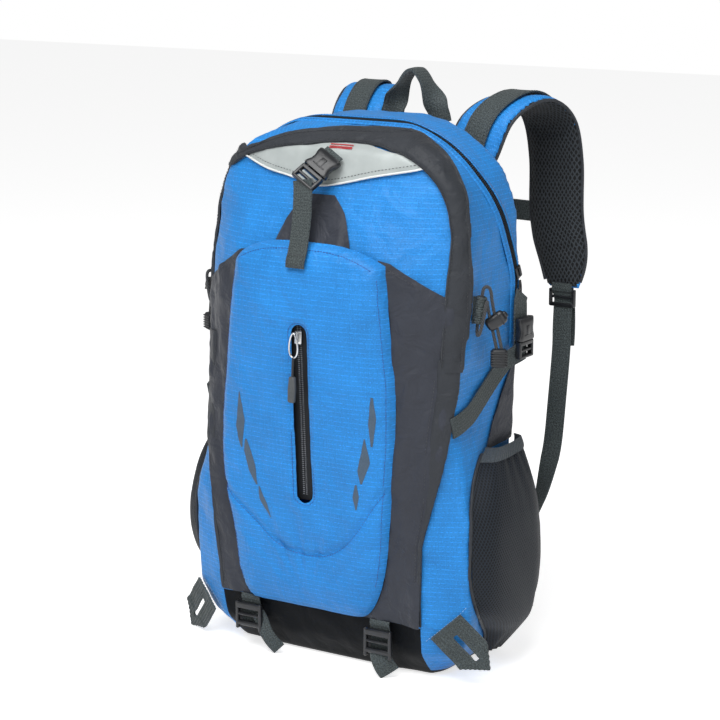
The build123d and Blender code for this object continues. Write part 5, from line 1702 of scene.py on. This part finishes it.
panel_loop = np.vstack([
    smooth_line([(108, 24), (116, 150), (126, 330)], 50),
    smooth_line([(126, 330), (118, 420), (70, 478), (0, 490), (-70, 478), (-118, 420), (-126, 330)], 90)[1:-1],
    smooth_line([(-126, 330), (-116, 150), (-108, 24)], 50),
    np.linspace((-108, 24), (108, 24), 60)[1:-1],
])
rear = cut_cloth("back_panel_mesh", [panel_loop], 3.2)
flat = get_points(rear)[:, [0, 2]]
rim, _ = cut_distance(flat, [panel_loop])
puff = 3.0 * (1 - np.exp(-np.maximum(rim, 0) / 9))
channel = 1.4 * np.exp(-((np.abs(flat[:, 0]) - 105) / 3.0) ** 2) * (flat[:, 1] < 400)
puff = np.maximum(puff - channel, 0.2) * (rim > 0.1)
set_points(rear, np.column_stack([flat[:, 0], BACK_Y + 0.5 + puff + 0.3 * flat_bumps(flat, 40, 71), flat[:, 1]]))
flip(rear)
modify(rear, "SOLIDIFY", thickness=0.8 * MM, offset=-1)
outfit(rear, spacer, "air_mesh", "pack", "back_panel")
around = np.column_stack([panel_loop[:, 0], np.full(len(panel_loop), BACK_Y + 1.6), panel_loop[:, 1]])
around = np.vstack([around, around[:1]])
outfit(tube("back_panel_binding", around, 1.7, ends=False), band_nylon, "grey_nylon", "pack")

PAD_X, PAD_Z = 56, 245  # middle of a back pad
pads = []
for side in (1, -1):
    pad = block(f"back_pad_{side}", (74, 326, 7), 3.2)
    place_mesh(pad, (side * PAD_X, 62.2, PAD_Z), (1, 0, 0), (0, 0, 1))
    modify(pad, "REMESH", mode="VOXEL", voxel_size=3.5 * MM, use_smooth_shade=True)
    crown(pad, 3.0, 3.0)
    shape = get_points(pad)
    off_middle = shape[:, 0] - side * PAD_X
    inward = np.clip((np.abs(shape[:, 2] - PAD_Z) - 140) / 23, 0, 1) * np.clip((np.abs(off_middle) - 16) / 21, 0, 1)
    shape[:, 0] -= np.sign(off_middle) * inward * 7
    outer = shape[:, 1] > 62
    for quilt_z in (165, 245, 325):
        shape[:, 1] -= 2.0 * np.exp(-((shape[:, 2] - quilt_z) / 4.0) ** 2) * outer
    shape[:, 1] = np.clip(shape[:, 1], 58.9, 69.5)
    set_points(pad, shape)
    set_uv(pad, shape[:, [0, 2]] * MM)
    pads.append(pad)
outfit(joined("back_pads_padded", pads), spacer, "air_mesh", "pack", "back_pads")


# ---- Shoulder straps: foam under blue nylon outside and spacer mesh inside, bound along the edges. ----
# Webbing is sewn down the middle; the ladder lock at the end of each strap takes the lower webbing,
# which runs on to the side of the bag.
PAD_ROUTES = {
    "r": [(74, 66, 452), (84, 76, 490), (97, 98, 508), (107, 122, 508), (113, 146, 488),
          (116, 155, 450), (119, 152, 400), (130, 145, 357), (134, 138, 333)],
    "l": [(-57, 66, 452), (-55, 76, 490), (-57, 98, 510), (-61, 122, 510), (-75, 146, 489),
          (-92, 155, 450), (-110, 152, 400), (-126, 145, 357), (-134, 138, 333)],
}


def strap_frame(line):
    """Across and outward directions along a strap that runs in the fore-and-aft plane."""
    along = np.gradient(line, axis=0) * (0, 1, 1)
    along /= np.linalg.norm(along, axis=1, keepdims=True)
    outward = np.column_stack([np.zeros(len(line)), -along[:, 2], along[:, 1]])
    return along, outward


TACK_STATIONS = (0.5, 0.88)  # where the webbing is tacked to the pad, as shares of its length
for tag, route in PAD_ROUTES.items():
    line = smooth_line(route, 150)
    along, outward = strap_frame(line)
    t = np.linspace(0, 1, len(line))
    width = 27.2 - 3.5 * np.exp(-t / 0.05) - 11.0 * np.clip((t - 0.84) / 0.16, 0, 1) ** 1.6
    rows = []
    angles = np.linspace(0, 2 * math.pi, 41)
    for place, outw, w, s in zip(line, outward, width, t):
        c, d = np.cos(angles), np.sin(angles)
        a = np.sign(c) * np.abs(c) ** 0.45 * w
        h = np.sign(d) * np.abs(d) ** 0.8 * (4.4 if s < 0.985 else 3.4)
        rows.append(place + a[:, None] * np.array([1.0, 0, 0]) + h[:, None] * outw)
    pad = grid_piece(f"shoulder_pad_padded_{tag}", rows)
    weld(pad)
    close_ends(pad)
    modify(pad, "REMESH", mode="VOXEL", voxel_size=3.0 * MM, use_smooth_shade=True)
    crown(pad, 3.0, 2.4)
    shape = get_points(pad)
    near = np.array([np.argmin(((line - p) ** 2).sum(axis=1)) for p in shape])
    offset = shape - line[near]
    height = np.sum(offset * outward[near], axis=1)
    across = offset[:, 0]
    run = np.concatenate([[0], np.cumsum(np.linalg.norm(np.diff(line, axis=0), axis=1))])[near]
    ripple = np.sin(run / 6.5 + 1.5 * np.sin(run / 40)) * np.clip((np.abs(across) - 15) / 10, 0, 1)
    tight = np.exp(-((across) / 13.5) ** 4)
    shape += outward[near] * ((0.5 * ripple * (height > 0)) - 0.8 * tight * (height > 0))[:, None]
    for station in TACK_STATIONS:
        pinch = np.exp(-((run / run.max() - station) * run.max() / 3.0) ** 2) * (np.abs(across) < 13)
        shape += outward[near] * (1.5 * pinch * (height < 0))[:, None]
    set_points(pad, shape)
    set_uv(pad, np.column_stack([across, run]) * MM)
    middles, normals = face_middles(pad)
    near = np.array([np.argmin(((line - p) ** 2).sum(axis=1)) for p in middles])
    inside = np.sum((middles - line[near]) * outward[near], axis=1) < np.where(near > 75, 0.6, -0.4)
    outfit(pad, [ripstop, spacer], "air_mesh", "harness", f"shoulder_pad_{tag}")
    pad.data.polygons.foreach_set("material_index", inside.astype(int))
    for k, way in enumerate((1, -1)):
        edge = line[3:-3] + np.array([1.0, 0, 0]) * (way * (width[3:-3] + 0.2))[:, None] - outward[3:-3] * 0.3
        outfit(tube(f"shoulder_pad_binding_{tag}_{k}", edge, 1.5), band_nylon, "grey_nylon", "harness")
    centre = line[10:-1] + outward[10:-1] * 6.7
    path = smooth_line(centre[::5], 90)
    tape_facing = np.array([outward[np.argmin(((line - p) ** 2).sum(axis=1))] for p in path])
    webb = tape(f"shoulder_webbing_tape_{tag}", path, tape_facing, 25, 1.8)
    outfit(webb, webbing, "webbing", "harness", *once(tag, "shoulder_webbing"))
    rows = []
    for way in (1, -1):
        edge = path + np.array([1.0, 0, 0]) * way * 10.8 + tape_facing * 0.95
        for part in np.array_split(np.arange(len(edge)), 14):
            piece = edge[part[0]:part[-1] + 2]
            rows.append((piece, tape_facing[part].mean(axis=0)))
    for station in TACK_STATIONS:
        spot = np.argmin(np.abs(np.linspace(0, 1, len(line)) - station))
        for k in (-2, 0, 2):
            bar = line[spot + k] + np.linspace(-11, 11, 12)[:, None] * np.array([1.0, 0, 0]) - outward[spot + k] * 3.6
            rows.append((bar, -outward[spot + k]))
    stitches(f"shoulder_stitches_{tag}", rows, grey_thread, "harness", "webbing", **SEAM_STITCH)

# Ladder locks at the ends of the pads, and the webbing that runs down to the anchors.
for tag, side in SIDES.items():
    centre = np.array([side * 134.0, 138.0, 323.0])
    parts = []
    for s in (1, -1):
        parts.append(rounded_bar((2.8, 16.5, 4.0), 1.0, 4, centre + (s * 12.2, 0, 0), (1, 0, 0), (0, 0, 1)))
    for up, thick, deep in ((6.6, 3.2, 4.0), (0.6, 2.6, 3.2), (-6.8, 3.6, 4.6)):
        parts.append(rounded_bar((26.5, thick, deep), 1.1, 4, centre + (0, 0, up), (1, 0, 0), (0, 0, 1)))
    lock = joined(f"pad_ladder_frame_{tag}", parts)
    outfit(lock, acetal, "black_plastic", "harness", *once(tag, "pad_ladder_locks"))
    path = smooth_line([(side * 133.9, 139.5, 338), (side * 134, 140.6, 332), (side * 134, 138.4, 327),
                        (side * 134, 136.2, 331), (side * 134, 136.6, 337)], 24)
    link = tape(f"pad_link_tape_{tag}", path, (0, 1, 0.1), 21, 1.5)
    outfit(link, webbing, "webbing", "harness")
    path = [(134.2, 137.2, 327), (134.4, 139.4, 321), (134.7, 138.0, 314), (136, 134.4, 296),
            (138, 130, 274), (139.4, 121, 230), (140, 113, 190), (139.4, 104.5, 166),
            (138.4, 95, 143), (137.4, 86.5, 129), (136.6, 82.5, 122)]
    line = smooth_line([(side * x, y, z) for x, y, z in path], 110)
    _, face_way = strap_frame(line)
    turn = np.clip((175 - line[:, 2]) / 60, 0, 1) * 0.9 * side
    twisted = face_way * np.cos(turn)[:, None] + np.array([1.0, 0, 0]) * np.sin(turn)[:, None]
    lower = tape(f"lower_webbing_tape_{tag}", line, twisted, 19.5, 1.6)
    lower.data.materials.append(webbing)
    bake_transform(lower)
    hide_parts(f"lower_webbing_{tag}")
    tail = smooth_line([(side * 134.4, 140.4, 327), (side * 134.8, 143.5, 318), (side * 135.2, 144.2, 303),
                        (side * 136, 142.6, 288), (side * 137, 139.5, 277)], 24)
    _, face_way = strap_frame(tail)
    tail_piece = tape(f"lower_webbing_tail_{tag}", tail, face_way, 19.5, 1.5)
    outfit(tail_piece, webbing, "webbing", "harness")

    low = np.array([side * 119.5, 57.5, 62])
    high = np.array([side * 121.5, 57.5, 112])
    outer_top = np.array([side * 132, 79, 128.5])
    outer_foot = np.array([side * 139, 82, 118])
    rows = []
    for t in np.linspace(0, 1, 18):
        a = low + (outer_foot - low) * t
        b = high + (outer_top - high) * t
        normal = np.cross(b - a, outer_foot - low)
        normal /= np.linalg.norm(normal)
        rows.append([a + (b - a) * s + normal * (1.6 * math.sin(math.pi * t) * math.sin(math.pi * s))
                     for s in np.linspace(0, 1, 14)])
    anchor = grid_piece(f"strap_anchor_triangle_{tag}", rows)
    modify(anchor, "SOLIDIFY", thickness=2.2 * MM, offset=0)
    outfit(anchor, charcoal, "grey_nylon", "pack", *once(tag, "strap_anchors"))

# Chest strap: 20 mm webbing between the pads, with a buckle in the middle.
for k, ends in enumerate(((91, 17.0), (-83, -18.0))):
    x = np.linspace(ends[0], ends[1], 40)
    line = np.column_stack([x, 152 + 0.6 * np.sin(x / 14), 400 + 0.8 * np.sin(x / 30)])
    chest = tape(f"chest_webbing_{k}", line, (0, 1, 0), 19.5, 1.6)
    if k == 0:
        outfit(chest, webbing, "webbing", "harness", "sternum_webbing")
    else:
        chest.data.materials.append(webbing)
        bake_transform(chest)
chest_mouth = np.array([-4.0, 152, 400])
chest_down, chest_across = np.array([-1.0, 0, 0]), np.array([0, 0, -1.0])
buckle_half_female("chest_buckle_shell", chest_mouth, chest_down, chest_across, 20, "harness", "sternum_buckle_female")
buckle_half_male("chest_buckle_prongs", chest_mouth, chest_down, chest_across, 20, "sternum_buckle",
                 "sternum_buckle_male")

# Grab handle: a loop of webbing sewn behind the top of the bag.
loop_line = smooth_line([(-28, 486.6), (-26, 494), (-20.5, 507.5), (-14.5, 519), (-9, 528), (-4.2, 533.4), (0, 535),
                         (4.2, 533.4), (9, 528), (14.5, 519), (20.5, 507.5), (26, 494), (28, 486.6)], 80)
HANDLE_X = 8
handle_line = np.column_stack([loop_line[:, 0] + HANDLE_X, np.full(80, 78.2), loop_line[:, 1]])
way = np.gradient(loop_line, axis=0)
flat_part = np.clip((524 - loop_line[:, 1]) / 26, 0, 1)[:, None] ** 1.3
radial = np.column_stack([-way[:, 1], np.zeros(80), way[:, 0]])
radial /= np.linalg.norm(radial, axis=1, keepdims=True)
facing = radial * (1 - flat_part) + np.sign(loop_line[:, :1]) * np.array([0, -1.0, 0]) * flat_part
grab = tape("grab_handle_webbing", handle_line, facing, 22.5, 2.4, sag=0.5)
outfit(grab, webbing, "webbing", "handle", "grab_handle")
foot = block("handle_anchor_patch", (69, 22, 7.4), 2.4)
place_mesh(foot, (HANDLE_X, 62.4, 474), (1, 0, 0), (0, 0, 1))
set_uv(foot, get_points(foot)[:, [0, 2]] * MM)
outfit(foot, band_nylon, "webbing", "pack", "handle_anchor")
rows = []
for dx in (-30, -24, 24, 30):
    rows.append((np.array([(HANDLE_X + dx, 66.2, 466 + dz) for dz in np.linspace(0, 16, 9)]), np.array([0, 1.0, 0])))
stitches("handle_bar_tacks", rows, grey_thread, "pack", "webbing", long=1.6, wide=1.0, pitch=1.8)
